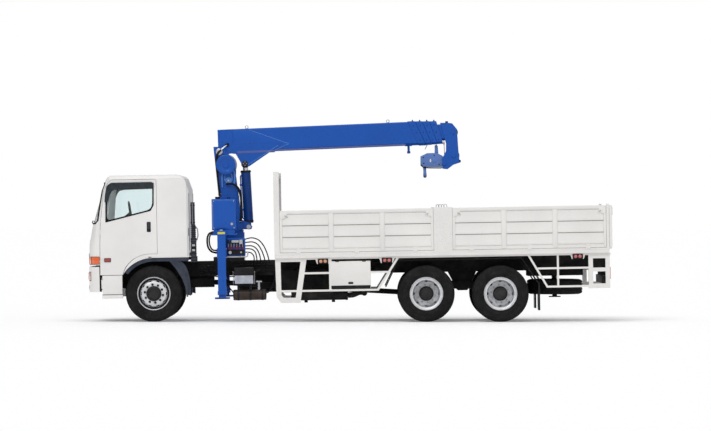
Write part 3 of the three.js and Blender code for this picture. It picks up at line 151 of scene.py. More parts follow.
class Nodes:
    """Short ways to add and join the nodes of one material."""

    def __init__(self, name):
        self.material = bpy.data.materials.new(name)
        self.material.use_nodes = True
        self.tree = self.material.node_tree
        self.shader = self.tree.nodes["Principled BSDF"]
        self.place = self.add("ShaderNodeTexCoord").outputs["Object"]

    def add(self, kind, **settings):
        node = self.tree.nodes.new(kind)
        for name, value in settings.items():
            setattr(node, name, value)
        return node

    def link(self, source, target):
        self.tree.links.new(source, target)

    def noise(self, scale, detail=3.0, rough=0.55, stretch=(1, 1, 1)):
        mapping = self.add("ShaderNodeMapping")
        mapping.inputs["Scale"].default_value = stretch
        texture = self.add("ShaderNodeTexNoise")
        texture.inputs["Scale"].default_value = scale
        texture.inputs["Detail"].default_value = detail
        texture.inputs["Roughness"].default_value = rough
        self.link(self.place, mapping.inputs["Vector"])
        self.link(mapping.outputs["Vector"], texture.inputs["Vector"])
        return texture.outputs["Fac"]

    def remap(self, source, low, high, to_low=0.0, to_high=1.0):
        node = self.add("ShaderNodeMapRange")
        for slot, value in zip(("From Min", "From Max", "To Min", "To Max"), (low, high, to_low, to_high)):
            node.inputs[slot].default_value = value
        self.link(source, node.inputs["Value"])
        return node.outputs["Result"]

    def math(self, operation, a, b=None):
        node = self.add("ShaderNodeMath", operation=operation)
        for slot, value in zip(node.inputs, (a, b)):
            if isinstance(value, (int, float)):
                slot.default_value = value
            elif value is not None:
                self.link(value, slot)
        return node.outputs["Value"]

    def mix(self, share, a, b):
        node = self.add("ShaderNodeMix", data_type="RGBA")
        self.link(share, node.inputs["Factor"])
        for slot, value in zip(("A", "B"), (a, b)):
            target = node.inputs[6 if slot == "A" else 7]
            if isinstance(value, tuple):
                target.default_value = value
            else:
                self.link(value, target)
        return node.outputs[2]

    def axis(self, name, source=None):
        node = self.add("ShaderNodeSeparateXYZ")
        self.link(source or self.place, node.inputs["Vector"])
        return node.outputs[name]

    def edges(self, low=0.53, high=0.62):
        """Where the surface turns sharply outwards, such as a worn edge."""
        pointiness = self.add("ShaderNodeNewGeometry").outputs["Pointiness"]
        return self.remap(pointiness, low, high)

    def bump(self, height, strength, distance=0.002):
        node = self.add("ShaderNodeBump")
        node.inputs["Strength"].default_value = strength
        node.inputs["Distance"].default_value = distance
        self.link(height, node.inputs["Height"])
        self.link(node.outputs["Normal"], self.shader.inputs["Normal"])

    def set(self, **values):
        for name, value in values.items():
            target = self.shader.inputs[name.replace("_", " ")]
            if isinstance(value, (int, float, tuple)):
                target.default_value = value
            else:
                self.link(value, target)


def paint(name, colour, gloss=0.35, dust=srgb(150, 140, 125), dusty=0.25, coat=0.5, shine=0.5, below=None):
    """Sprayed paint: faint mottling, orange peel, road dust low down, and worn edges.
    below is (height in metres, colour) for a piece whose lower part is another colour."""
    m = Nodes(name)
    broad = m.noise(1.3, 4)
    fine = m.noise(40, 3)
    body = m.mix(m.remap(broad, 0.35, 0.7), scaled(colour, 0.95), scaled(colour, 1.03))
    height = m.axis("Z")
    if below:
        level, lower = below
        body = m.mix(m.remap(height, level - 0.002, level + 0.002), lower, body)
    low = m.remap(height, 1.3, 0.3)
    spots = m.remap(m.math("MULTIPLY", m.noise(7, 5, 0.65), m.noise(55, 2)), 0.22, 0.40)
    dirt = m.math("MULTIPLY", m.math("MULTIPLY", spots, dusty), m.math("ADD", low, 0.22))
    worn = m.math("MULTIPLY", m.edges(0.56, 0.68), m.remap(fine, 0.5, 0.72, 0.0, 0.35))
    body = m.mix(dirt, body, dust)
    body = m.mix(worn, body, scaled(colour, 0.62))
    m.set(Base_Color=body, Roughness=m.remap(m.noise(9, 4), 0.3, 0.75, gloss - 0.05, gloss + 0.12))
    m.set(Coat_Weight=coat, Coat_Roughness=0.12, Specular_IOR_Level=shine)
    m.bump(m.noise(260, 2), 0.05, 0.0006)
    return m.material


def matt(name, colour, rough=0.7, grain=420, depth=0.25, dusty=0.5, metal=0.0):
    """Chassis paint, cast metal or moulded plastic, with a fine grain and grey road dust."""
    m = Nodes(name)
    mottled = m.mix(m.remap(m.noise(6, 5), 0.35, 0.7), scaled(colour, 0.75), scaled(colour, 1.3))
    dirt = m.math("MULTIPLY", m.remap(m.noise(3.1, 6, 0.65), 0.45, 0.75), dusty * 0.45)
    body = m.mix(dirt, mottled, srgb(96, 90, 82))
    m.set(Base_Color=body, Metallic=metal)
    m.set(Roughness=m.remap(m.noise(14, 4), 0.3, 0.7, rough - 0.12, min(1.0, rough + 0.12)))
    m.set(Specular_IOR_Level=0.18)
    m.bump(m.noise(grain, 2), depth, 0.0008)
    return m.material


def metal(name, colour, rough=0.3, brushed=(1, 1, 1), stain=0.35):
    """Bare or silver metal, with brush marks and dull stains."""
    m = Nodes(name)
    stains = m.remap(m.noise(11, 5, 0.6), 0.5, 0.8)
    body = m.mix(m.math("MULTIPLY", stains, stain), colour, scaled(colour, 0.45))
    m.set(Base_Color=body, Metallic=0.85)
    m.set(Roughness=m.remap(m.noise(90, 3, stretch=brushed), 0.3, 0.7, rough - 0.08, rough + 0.16))
    m.bump(m.noise(300, 2, stretch=brushed), 0.08, 0.0005)
    return m.material


def silver_paint(name):
    """Silver wheel paint: fine flake, brake dust in patches."""
    m = Nodes(name)
    flake = m.remap(m.noise(900, 1), 0.3, 0.7)
    body = m.mix(flake, srgb(212, 213, 217), srgb(236, 237, 240))
    dust = m.math("MULTIPLY", m.remap(m.noise(8, 5, 0.6), 0.45, 0.75), 0.35)
    m.set(Base_Color=m.mix(dust, body, srgb(138, 130, 120)), Metallic=0.2)
    m.set(Roughness=m.remap(m.noise(20, 4), 0.3, 0.7, 0.32, 0.5))
    m.bump(m.noise(500, 2), 0.06, 0.0004)
    return m.material


def rubber(name, colour=srgb(36, 36, 37)):
    """Tyre rubber: dull, browned by dust, with fine moulding marks."""
    m = Nodes(name)
    tone = m.mix(m.remap(m.noise(5, 5), 0.35, 0.7), scaled(colour, 0.75), scaled(colour, 1.35))
    dust = m.math("MULTIPLY", m.remap(m.noise(12, 6, 0.7), 0.5, 0.8), 0.14)
    m.set(Base_Color=m.mix(dust, tone, srgb(98, 92, 86)))
    m.set(Roughness=m.remap(m.noise(30, 3), 0.3, 0.7, 0.72, 0.92))
    m.set(Specular_IOR_Level=0.12)
    m.bump(m.noise(350, 3), 0.3, 0.0008)
    return m.material


def clear_glass(name, tint=srgb(236, 245, 246)):
    m = Nodes(name)
    smear = m.remap(m.noise(4, 5, 0.7), 0.4, 0.8, 0.0, 0.05)
    m.set(Base_Color=tint, Transmission_Weight=1.0, IOR=1.45)
    m.set(Roughness=smear)
    return m.material


def lens(name, colour, glow=0.12):
    """A moulded lamp lens: clear coloured plastic with fine fluting, lit a little from within."""
    m = Nodes(name)
    flutes = m.add("ShaderNodeTexWave", wave_type="BANDS", bands_direction="X")
    flutes.inputs["Scale"].default_value = 42
    m.link(m.place, flutes.inputs["Vector"])
    body = m.mix(flutes.outputs["Fac"], scaled(colour, 0.7), scaled(colour, 1.15))
    m.set(Base_Color=body, Roughness=m.remap(m.noise(60, 2), 0.3, 0.7, 0.08, 0.22))
    m.set(Coat_Weight=1.0, Coat_Roughness=0.05, Emission_Color=colour, Emission_Strength=glow)
    m.bump(flutes.outputs["Fac"], 0.25, 0.001)
    return m.material


def cloth(name):
    """Woven seat cloth with a faint stripe and sheen."""
    m = Nodes(name)
    waves = []
    for direction in ("X", "Z"):
        wave = m.add("ShaderNodeTexWave", wave_type="BANDS", bands_direction=direction)
        wave.inputs["Scale"].default_value = 190
        m.link(m.place, wave.inputs["Vector"])
        waves.append(wave.outputs["Fac"])
    weave = m.math("MULTIPLY", *waves)
    fleck = m.remap(m.noise(160, 3), 0.35, 0.7)
    body = m.mix(fleck, srgb(52, 55, 62), srgb(84, 88, 98))
    m.set(Base_Color=body, Roughness=m.remap(weave, 0, 1, 0.82, 0.95), Sheen_Weight=0.4)
    m.bump(weave, 0.5, 0.001)
    return m.material


def timber(name):
    """Hardwood deck boards: grain along X, worn grey in patches."""
    m = Nodes(name)
    grain = m.noise(9, 6, 0.65, stretch=(0.35, 9, 1))
    board = m.noise(1, 0, 0.5, stretch=(0.01, 7.2, 0.01))
    wood = m.mix(m.remap(grain, 0.3, 0.72), srgb(92, 66, 46), srgb(150, 116, 84))
    wood = m.mix(m.remap(board, 0.35, 0.65, 0.0, 0.45), wood, srgb(120, 96, 74))
    grey = m.math("MULTIPLY", m.remap(m.noise(2.3, 5, 0.65), 0.45, 0.75), 0.45)
    m.set(Base_Color=m.mix(grey, wood, srgb(142, 136, 126)))
    m.set(Roughness=m.remap(grain, 0.3, 0.7, 0.6, 0.85))
    m.bump(grain, 0.4, 0.0015)
    return m.material


WHITE_COLOUR = srgb(236, 234, 232)
BLUE_COLOUR = srgb(16, 84, 178)
BLACK_COLOUR = srgb(15, 15, 17)
WHITE = paint("white_paint", WHITE_COLOUR, gloss=0.34, coat=0.3, dusty=0.05)
WHITE_BED = paint("bed_paint", srgb(234, 232, 229), gloss=0.42, coat=0.1, dusty=0.05)
RAIL_SHADE = paint("rail_shade", srgb(104, 102, 100), gloss=0.6, coat=0.0, shine=0.2, dusty=0.1)
# Grey strips under the gate boards: painted shadow in the gaps between boards.
BOARD_SHADOW_GREY = paint("board_shadow_grey", srgb(150, 148, 146), gloss=0.6, coat=0.0, shine=0.2, dusty=0.1)
WELD_BLUE = paint("weld_blue", srgb(84, 138, 216), gloss=0.3, coat=0.1, shine=0.3, dusty=0.05)
# Lighter, greyer blue: painted sheen of the boom's bevelled lower edge, also used on the boom head's pin
# bolts.
EDGE_SHEEN_BLUE = paint("edge_sheen_blue", srgb(84, 96, 158), gloss=0.4, coat=0.1, shine=0.3, dusty=0.1)
BLUE = paint("crane_blue", BLUE_COLOUR, gloss=0.3, coat=0.12, shine=0.25, dusty=0.06)
# Crane blue darkened: painted shade on the lift barrel's round side, also used on the collar side bolts.
SHADED_BLUE = paint("shaded_barrel_blue", srgb(10, 60, 132), gloss=0.32, coat=0.12, shine=0.2, dusty=0.06)
BLUE_BASE = paint("crane_base_blue", BLUE_COLOUR, gloss=0.32, coat=0.12, shine=0.25, dusty=0.1,
                  below=(1.205, BLACK_COLOUR))
HOOK_BLUE = paint("hook_block_blue", srgb(94, 126, 192), gloss=0.4, coat=0.1, shine=0.25, dusty=0.1)
CHASSIS = matt("chassis_black", BLACK_COLOUR, rough=0.6)
SATIN_BLACK = matt("satin_black", srgb(27, 27, 29), rough=0.42, depth=0.1, dusty=0.25)
PLASTIC = matt("moulded_plastic", srgb(56, 58, 66), rough=0.62, grain=650, depth=0.35, dusty=0.3)
MUDGUARD = matt("mudguard_plastic", srgb(56, 63, 76), rough=0.5, grain=650, depth=0.25, dusty=0.3)
VISOR = matt("smoked_visor", srgb(46, 52, 58), rough=0.3, grain=300, depth=0.05, dusty=0.1)
SEAL = rubber("seal_rubber", srgb(26, 26, 28))
TYRE = rubber("tyre_rubber", srgb(30, 30, 31))
HOSE = rubber("hose_rubber", srgb(30, 30, 31))
SILVER = silver_paint("wheel_silver")
STEEL = metal("bare_steel", srgb(190, 192, 196))
CHROME = metal("bright_chrome", srgb(226, 228, 232), rough=0.14, stain=0.1)
CAST = matt("cast_iron", srgb(48, 48, 50), rough=0.5, grain=240, depth=0.4, metal=0.4)
# Near-black finish for the front rim's well: painted shadow inside a silver rim.
RIM_SHADOW = matt("rim_shadow", srgb(26, 26, 28), rough=0.7, dusty=0.15)
BROWN_TANK = matt("air_tank_brown", srgb(58, 47, 42), rough=0.45, dusty=0.6)
GREY_BOX = matt("grey_moulding", srgb(186, 190, 200), rough=0.5, dusty=0.3)
GLASS = clear_glass("window_glass")
AMBER = lens("amber_lens", srgb(226, 92, 14))
ORANGE_RED = lens("marker_lens", srgb(150, 52, 50), glow=0.03)
RED = lens("red_lens", srgb(176, 26, 24))
PINK_RED = lens("round_red_lens", srgb(196, 96, 92), glow=0.03)
PEACH = lens("round_amber_lens", srgb(214, 150, 112), glow=0.03)
CLEAR = lens("clear_lens", srgb(214, 222, 226), glow=0.05)
YELLOW = paint("yellow_band", srgb(214, 208, 60), gloss=0.4, coat=0.2, dusty=0.2)
RED_KNOB = matt("red_knob", srgb(150, 28, 26), rough=0.35, depth=0.05, dusty=0.2)
SEAT_CLOTH = cloth("seat_cloth")
DECK_WOOD = timber("deck_boards")

# ---------------------------------------------------------------- shapes


def lerp_table(table, x):
    """Straight-line value between the (x, y) pairs of a table in rising x."""
    for (x0, y0), (x1, y1) in zip(table, table[1:]):
        if x <= x1:
            return y0 + (y1 - y0) * (x - x0) / (x1 - x0)
    return table[-1][1]


def smooth_path(points, steps=6):
    """A Catmull-Rom curve through points."""
    points = [Vector(p) for p in points]
    ends = [2 * points[0] - points[1], *points, 2 * points[-1] - points[-2]]
    made = []
    for p0, p1, p2, p3 in zip(ends, ends[1:], ends[2:], ends[3:]):
        for i in range(steps):
            t = i / steps
            a = 2 * p1 + (p2 - p0) * t
            b = (2 * p0 - 5 * p1 + 4 * p2 - p3) * t * t
            c = (3 * p1 - p0 - 3 * p2 + p3) * t * t * t
            made.append((a + b + c) / 2)
    return [*made, points[-1]]


def arc(cx, cz, radius, start, end, steps):
    """Points [x, z] round a centre, angles in degrees."""
    turns = [math.radians(start + (end - start) * i / steps) for i in range(steps + 1)]
    return [(cx + radius * math.cos(t), cz + radius * math.sin(t)) for t in turns]


def rounded_rect(a0, a1, b0, b1, radius, steps=4):
    corners = [(a1 - radius, b1 - radius, 0), (a0 + radius, b1 - radius, 90),
               (a0 + radius, b0 + radius, 180), (a1 - radius, b0 + radius, 270)]
    return [p for a, b, start in corners for p in arc(a, b, radius, start, start + 90, steps)]


def offset(points, out):
    """An outline grown outwards by out."""
    pairs = list(zip(points, points[1:] + points[:1]))
    turn = 1 if sum(a[0] * b[1] - b[0] * a[1] for a, b in pairs) > 0 else -1
    sides = [Vector((b[1] - a[1], a[0] - b[0])).normalized() * turn for a, b in pairs]
    made = []
    for i, (x, y) in enumerate(points):
        both = (sides[i - 1] + sides[i]).normalized()
        reach = out / both.dot(sides[i])
        made.append((x + both.x * reach, y + both.y * reach))
    return made


def rounded(points, reach, steps=5):
    """An outline with each corner eased off from reach before it to reach after it."""
    made = []
    for i, corner in enumerate(points):
        p, a, b = Vector(corner), Vector(points[i - 1]), Vector(points[(i + 1) % len(points)])
        start = p + (a - p).normalized() * min(reach, (a - p).length * 0.45)
        end = p + (b - p).normalized() * min(reach, (b - p).length * 0.45)
        for k in range(steps + 1):
            t = k / steps
            made.append(tuple(start * (1 - t) ** 2 + p * 2 * t * (1 - t) + end * t * t))
    return made


class Shape:
    """Closed solids gathered into one piece."""

    def __init__(self, to_row=SPRUNG):
        self.bm = bmesh.new()
        self.to_row = to_row
        self.finish = 0

    def close(self, faces, bevel=0.0, steps=2):
        for face in faces:
            face.material_index = self.finish
        if bevel:
            edges = list({e for f in faces for e in f.edges if e.calc_face_angle(0) is not None})
            sharp = [e for e in edges if len(e.link_faces) == 2 and e.calc_face_angle() > 0.5]
            made = bmesh.ops.bevel(self.bm, geom=sharp, offset=bevel, segments=steps,
                                   affect="EDGES", profile=0.5, clamp_overlap=True)
            for face in made["faces"]:
                face.material_index = self.finish
        return self

    def prism(self, outline, axis, low, high, bevel=0.0, steps=2):
        """A flat outline made solid along x, y or z."""
        place = {"x": lambda a, b, t: (t, a, b), "y": lambda a, b, t: (a, t, b),
                 "z": lambda a, b, t: (a, b, t)}[axis]
        rings = [[self.bm.verts.new(place(a, b, t)) for a, b in outline] for t in (low, high)]
        faces = [self.bm.faces.new(rings[0]), self.bm.faces.new(rings[1][::-1])]
        count = len(outline)
        for i in range(count):
            j = (i + 1) % count
            faces.append(self.bm.faces.new((rings[0][j], rings[0][i], rings[1][i], rings[1][j])))
        bmesh.ops.recalc_face_normals(self.bm, faces=faces)
        return self.close(faces, bevel, steps)

    def box(self, x, y, z, bevel=2.0, steps=2):
        """x, y and z are (low, high)."""
        outline = [(x[0], z[0]), (x[1], z[0]), (x[1], z[1]), (x[0], z[1])]
        return self.prism(outline, "y", min(y), max(y), bevel, steps)

    def skin(self, rings, closed_along=False, caps=True):
        """Joins rings of points, all with the same count, into a closed skin."""
        made = [[self.bm.verts.new(p) for p in ring] for ring in rings]
        count = len(made[0])
        pairs = list(zip(made, made[1:])) + ([(made[-1], made[0])] if closed_along else [])
        faces = []
        for a, b in pairs:
            for i in range(count):
                j = (i + 1) % count
                faces.append(self.bm.faces.new((a[i], a[j], b[j], b[i])))
        if caps and not closed_along:
            faces += [self.bm.faces.new(made[0][::-1]), self.bm.faces.new(made[-1])]
        bmesh.ops.recalc_face_normals(self.bm, faces=faces)
        return self.close(faces)

    def tube(self, points, radius, sides=10, closed=False):
        """A round bar or hose along points. radius is one number or one for each point."""
        points = [Vector(p) for p in points]
        count = len(points)
        radii = radius if isinstance(radius, (list, tuple)) else [radius] * count
        rings, across = [], None
        for i, p in enumerate(points):
            before = points[i - 1] if closed or i else p
            after = points[(i + 1) % count] if closed or i < count - 1 else p
            along = (after - before).normalized()
            if across is None:
                across = along.orthogonal().normalized()
            across = (across - along * across.dot(along)).normalized()
            up = along.cross(across)
            turns = [2 * math.pi * k / sides for k in range(sides)]
            rings.append([p + (across * math.cos(t) + up * math.sin(t)) * radii[i] for t in turns])
        return self.skin(rings, closed_along=closed)

    def band(self, outer, inner, y0, y1):
        """A flat ring between two outlines with the same count of points, (x, z)."""
        rings = [[(a, y0, b), (a, y1, b), (c, y1, d), (c, y0, d)] for (a, b), (c, d) in zip(outer, inner)]
        return self.skin(rings, closed_along=True)

    def rod(self, start, end, radius, sides=20, chamfer=0.0):
        start, end = Vector(start), Vector(end)
        if not chamfer:
            return self.tube([start, end], radius, sides)
        cut = (end - start).normalized() * chamfer
        inner = radius - chamfer
        return self.tube([start, start + cut, end - cut, end], [inner, radius, radius, inner], sides)

    def bolt(self, centre, normal, size=12, height=10, washer=True):
        centre, normal = Vector(centre), Vector(normal).normalized()
        if washer:
            self.rod(centre, centre + normal * height * 0.25, size * 1.3, 14)
        self.rod(centre, centre + normal * height, size, 6, chamfer=size * 0.12)
        return self

    def lathe(self, profile, centre=(0, 0, 0), sides=96, closed=True, change=None, turn=1):
        """(radius, y) points turned about the Y axis through centre.
        closed joins the last point to the first; else the ends lie on the axis."""
        centre = Vector(centre)
        rings = []
        for k in range(sides):
            t = 2 * math.pi * k / sides
            ring = []
            for r, y in profile:
                r2 = change(r, y, k) if change else r
                ring.append(centre + Vector((r2 * math.cos(t), turn * y, r2 * math.sin(t))))
            rings.append(ring)
        if closed:
            return self.skin(rings, closed_along=True)
        made = [[self.bm.verts.new(p) for p in ring[1:-1]] for ring in rings]
        poles = [self.bm.verts.new(rings[0][0]), self.bm.verts.new(rings[0][-1])]
        faces = []
        for k in range(sides):
            a, b = made[k], made[(k + 1) % sides]
            faces += [self.bm.faces.new((poles[0], a[0], b[0])), self.bm.faces.new((poles[1], b[-1], a[-1]))]
            for i in range(len(a) - 1):
                faces.append(self.bm.faces.new((a[i], a[i + 1], b[i + 1], b[i])))
        bmesh.ops.recalc_face_normals(self.bm, faces=faces)
        return self.close(faces)

    def pierced_disc(self, profile, sides, thickness, in_hole, centre=(0, 0, 0), turn=1, dark_from=1e9):
        """A dished disc, (radius, y) from rim to hub, with holes where in_hole(radius, degrees).
        Beyond dark_from it takes the next finish."""
        centre = Vector(centre)
        grid = []
        for k in range(sides):
            t = 2 * math.pi * k / sides
            row = [(r * math.cos(t), turn * y, r * math.sin(t)) for r, y in profile]
            grid.append([self.bm.verts.new(centre + Vector(p)) for p in row])
        faces = []
        for k in range(sides):
            a, b = grid[k], grid[(k + 1) % sides]
            angle = 360 * (k + 0.5) / sides
            for i in range(len(profile) - 1):
                if not in_hole((profile[i][0] + profile[i + 1][0]) / 2, angle):
                    faces.append(self.bm.faces.new((a[i], a[i + 1], b[i + 1], b[i])))
        loose = [v for row in grid for v in row if not v.link_faces]
        bmesh.ops.delete(self.bm, geom=loose, context="VERTS")
        bmesh.ops.recalc_face_normals(self.bm, faces=faces)
        made = bmesh.ops.solidify(self.bm, geom=faces, thickness=thickness)
        done = set(faces) | {g for g in made["geom"] if isinstance(g, bmesh.types.BMFace)}
        self.close(list(done))
        for face in done:
            middle = face.calc_center_median() - centre
            if math.hypot(middle.x, middle.z) > dark_from:
                face.material_index = self.finish + 1
        return self

    def done(self, name, body, finishes, slot=None, replaces=(), smooth=38, move=None):
        finishes = finishes if isinstance(finishes, (list, tuple)) else [finishes]
        mesh = bpy.data.meshes.new(name)
        bmesh.ops.recalc_face_normals(self.bm, faces=self.bm.faces)
        self.bm.to_mesh(mesh)
        self.bm.free()
        mesh.transform(self.to_row if move is None else move @ self.to_row)
        for finish in finishes:
            mesh.materials.append(finish)
        mesh.shade_smooth()
        mesh.set_sharp_from_angle(angle=math.radians(smooth))
        piece = bpy.data.objects.new(name, mesh)
        bpy.context.scene.collection.objects.link(piece)
        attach(piece, body)
        if replaces:
            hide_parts(*([replaces] if isinstance(replaces, str) else replaces))
        return piece


# ---------------------------------------------------------------- CAD nodes that stay
CAD_FINISH = {
    "white": (WHITE, ["cab_front", "cab_left_side", "cab_right_side", "cab_roof", "cab_back",
                      "left_door", "right_door", "front_bumper"]),
    "bed": (WHITE_BED, ["bed_deck", "headboard", "gate_left_front", "gate_left_rear",
                        "gate_right_front", "gate_right_rear", "tailgate",
                        "side_guard_left", "side_guard_right"]),
    # The lift barrel takes the darkened blue: painted shade.
    "barrel": (SHADED_BLUE, ["lift_barrel"]),
    "blue": (BLUE, ["crane_column", "outrigger_beam_left", "outrigger_beam_right",
                    *[f"boom_section_{i}" for i in range(1, 6)]]),
    "base": (BLUE_BASE, ["crane_base"]),
    "black": (CHASSIS, ["front_axle", "rear_bogie", "chassis_frame", "powertrain", "silencer",
                        "front_left_knuckle", "front_right_knuckle", "rear_underrun", "cab_floor"]),
    "plastic": (PLASTIC, ["air_intake", "dashboard"]),
    "mudguards": (MUDGUARD, ["front_mudguard_left", "front_mudguard_right"]),
    "flaps": (SATIN_BLACK, ["rear_mudguard_left", "rear_mudguard_right", "battery_box"]),
    "tank": (CHASSIS, ["fuel_tank"]),
    "steel": (CHROME, ["lift_rod"]),
    "legs": (BLUE, ["jack_leg_left", "jack_leg_right"]),
    "glass": (GLASS, ["windscreen", "left_door_glass", "right_door_glass"]),
}
SOFT_EDGE = 0.003
FINE_EDGE = {"windscreen": 0.001, "left_door_glass": 0.001, "right_door_glass": 0.001,
             "rear_mudguard_left": 0.002, "rear_mudguard_right": 0.002}


def dress_cad_nodes():
    """Gives each kept CAD node its finish, and softens its corners."""
    for finish, names in CAD_FINISH.values():
        for name in names:
            piece = nodes[name]
            mesh = piece.data
            mesh.materials.clear()
            mesh.materials.append(finish)
            custom = mesh.attributes.get("custom_normal")
            if custom:
                mesh.attributes.remove(custom)
            mesh.shade_smooth()
            weld = piece.modifiers.new("weld", "WELD")
            weld.merge_threshold = 1e-5
            flat = piece.modifiers.new("flat", "DECIMATE")
            flat.decimate_type = "DISSOLVE"
            flat.angle_limit = math.radians(0.6)
            bevel = piece.modifiers.new("bevel", "BEVEL")
            bevel.width = FINE_EDGE.get(name, SOFT_EDGE)
            bevel.segments = 2
            bevel.limit_method = "ANGLE"
            bevel.angle_limit = math.radians(36)
            even = piece.modifiers.new("even", "WEIGHTED_NORMAL")
            even.mode = "FACE_AREA_WITH_ANGLE"


# ---------------------------------------------------------------- wheels
wheel_low, wheel_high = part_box("front_left_wheel")
TYRE_RADIUS = (wheel_high.z - wheel_low.z) / 2 / MM
TWIN_SPACING = 310
FRONT_WHEEL_Y = 970
REAR_OUTER_Y = 1085
NUT_CIRCLE = 166


def tyre_section():
    """(radius, y) round one tyre section, with four tread grooves and a ribbed sidewall."""
    r = TYRE_RADIUS
    half = [(r, 0), (r, 17), (r - 11, 19), (r - 11, 28), (r, 30), (r, 61), (r - 11, 63), (r - 11, 72),
            (r - 1, 74), (r - 3, 100), (r - 9, 112), (r - 20, 120), (r - 36, 128), (r - 58, 135),
            (r - 62, 137.5), (r - 68, 137.5), (r - 72, 136), (r - 96, 139.5), (r - 135, 139),
            (r - 139, 141), (r - 146, 141), (r - 150, 138), (r - 182, 129), (r - 198, 121),
            (r - 202, 121), (r - 206, 115), (r - 217, 107), (r - 226, 98)]
    return [*half, (r - 232, 90), (r - 232, -90), *[(a, -b) for a, b in half[::-1][:-1]]]


def lug(r, y, k):
    """Cuts the shoulder of the tread into blocks."""
    return r - 9 if k % 4 == 0 and 73 < abs(y) < 119 else r


RIM_LIP = [(304, 119), (304, 104), (294, 99), (288, 101), (286, 113), (298, 125)]
RIM_WELL = [(289, 98), (262, 92), (262, -92), (289, -98), (286, -113), (272, -100), (252, -93), (252, 93),
            (272, 100),
            (285, 112)]


def oval_hole(count, middle, half_depth, half_angle):
    def in_hole(radius, angle):
        pitch = 360 / count
        off = (angle + pitch / 2) % pitch - pitch / 2
        return (off / half_angle) ** 4 + ((radius - middle) / half_depth) ** 4 < 1
    return in_hole


def ring_of(count, radius, phase=0.0):
    for i in range(count):
        t = 2 * math.pi * (i + phase) / count
        yield radius * math.cos(t), radius * math.sin(t)


def wheel_parts(twin):
    """The tyre, rim and hub shapes of a front wheel or a rear pair, outward +Y, at the origin."""
    centres = [0, -TWIN_SPACING] if twin else [0]
    tyre, rim, hub = Shape(LEVEL), Shape(LEVEL), Shape(LEVEL)
    for y in centres:
        tyre.lathe(tyre_section(), (0, y, 0), sides=144, change=lug)
        for turn in (1, -1):
            rim.lathe(RIM_LIP, (0, y, 0), sides=96, turn=turn)
        # The front rim's well takes the dark finish: painted shadow.
        rim.finish = 0 if twin else 1
        rim.lathe(RIM_WELL, (0, y, 0), sides=96)
        rim.finish = 0
    if twin:
        face = -TWIN_SPACING / 2
        disc = [(256, face + 46), (248, face + 36), (242, face + 28), (236, face + 21), (230, face + 15),
                (222, face + 10), (212, face + 9), (196, face + 9), (180, face + 12), (160, face + 12),
                (128, face + 12)]
        rim.pierced_disc(disc, 160, 11, oval_hole(8, 233, 17, 7))
        inner = [(r, 2 * face - y) for r, y in disc]
        rim.pierced_disc(inner, 80, 11, oval_hole(8, 233, 17, 7))
        nut_y, hub_end = face + 12, 66
        hub.lathe([(0, face - 30), (134, face - 30), (134, face + 66), (126, face + 80), (112, face + 84),
                   (108, hub_end - 18), (98, hub_end - 8), (0, hub_end - 8)], sides=64, closed=False)
        hub.lathe([(0, face - 250), (186, face - 250), (192, face - 242), (192, face - 40), (180, face - 30),
                   (0, face - 30)], sides=48, closed=False)
        hub_bolts, bolt_ring = 12, 82
    else:
        disc = [(258, 52), (252, 62), (247, 70), (241, 78), (235, 85), (229, 91), (222, 96), (212, 101),
                (200, 106), (185, 110), (165, 112), (134, 112)]
        # Beyond 244 mm the front disc takes the dark finish: painted shadow in the rim well.
        rim.pierced_disc(disc, 160, 12, oval_hole(10, 236, 17, 7), dark_from=244)
        nut_y, hub_end = 112, 166
        hub.lathe([(0, 60), (139, 60), (139, 118), (131, 126), (108, 130), (104, hub_end - 18),
                   (94, hub_end - 5), (0, hub_end - 5)], sides=64, closed=False)
        hub.lathe([(0, -52), (188, -52), (194, -44), (194, 36), (180, 46), (0, 46)], sides=48, closed=False)
        hub_bolts, bolt_ring = 8, 78
    for x, z in ring_of(hub_bolts, bolt_ring, 0.5):
        hub.bolt((x, hub_end - (8 if twin else 5), z), (0, 1, 0), 9, 8)
    hub.lathe([(0, hub_end - 8), (52, hub_end - 8), (50, hub_end - 1), (0, hub_end - 1)], sides=32,
              closed=False)
    hub.finish = 1 if twin else 0
    for x, z in ring_of(10, NUT_CIRCLE, 0.25):
        hub.bolt((x, nut_y, z), (0, 1, 0), 17, 26)
        hub.rod((x, nut_y + 20, z), (x, nut_y + 38, z), 10.5, 12, chamfer=2)
    return {"tyre": (tyre, TYRE, "rubber"), "rim": (rim, [SILVER, RIM_SHADOW], "steel"),
            "hub": (hub, [CAST, STEEL], "black")}


def place_wheel(node, body, centre, outward, twin, only=None):
    """Stands one wheel or pair at centre, facing along outward."""
    turn = Vector((0, 1, 0)).rotation_difference(Vector(outward)).to_matrix().to_4x4()
    if outward[1] < 0:
        turn = Matrix.Rotation(math.pi, 4, "Z")
    move = Matrix.Translation(centre) @ turn
    for kind, (shape, finish, slot) in wheel_parts(twin).items():
        if only and kind not in only:
            shape.bm.free()
            continue
        shape.done(f"{node}_{kind}", body, finish, slot, replaces=node if kind == "tyre" else (), move=move)


def wheels():
    for side, sign in SIDES.items():
        node = f"front_{side}_wheel"
        low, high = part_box(node)
        centre = Vector(((low.x + high.x) / 2, sign * FRONT_WHEEL_Y * MM, TYRE_RADIUS * MM))
        place_wheel(node, node, centre, (0, sign, 0), twin=False)
        for axle in (1, 2):
            node = f"rear_{side}_wheels_{axle}"
            low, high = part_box(node)
            centre = Vector(((low.x + high.x) / 2, sign * REAR_OUTER_Y * MM, TYRE_RADIUS * MM))
            place_wheel(node, node, centre, (0, sign, 0), twin=True)
    low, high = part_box("spare_wheel")
    centre = (low + high) / 2
    place_wheel("spare_wheel", "chassis", centre, (0, 0, -1), twin=False, only=("tyre", "rim"))


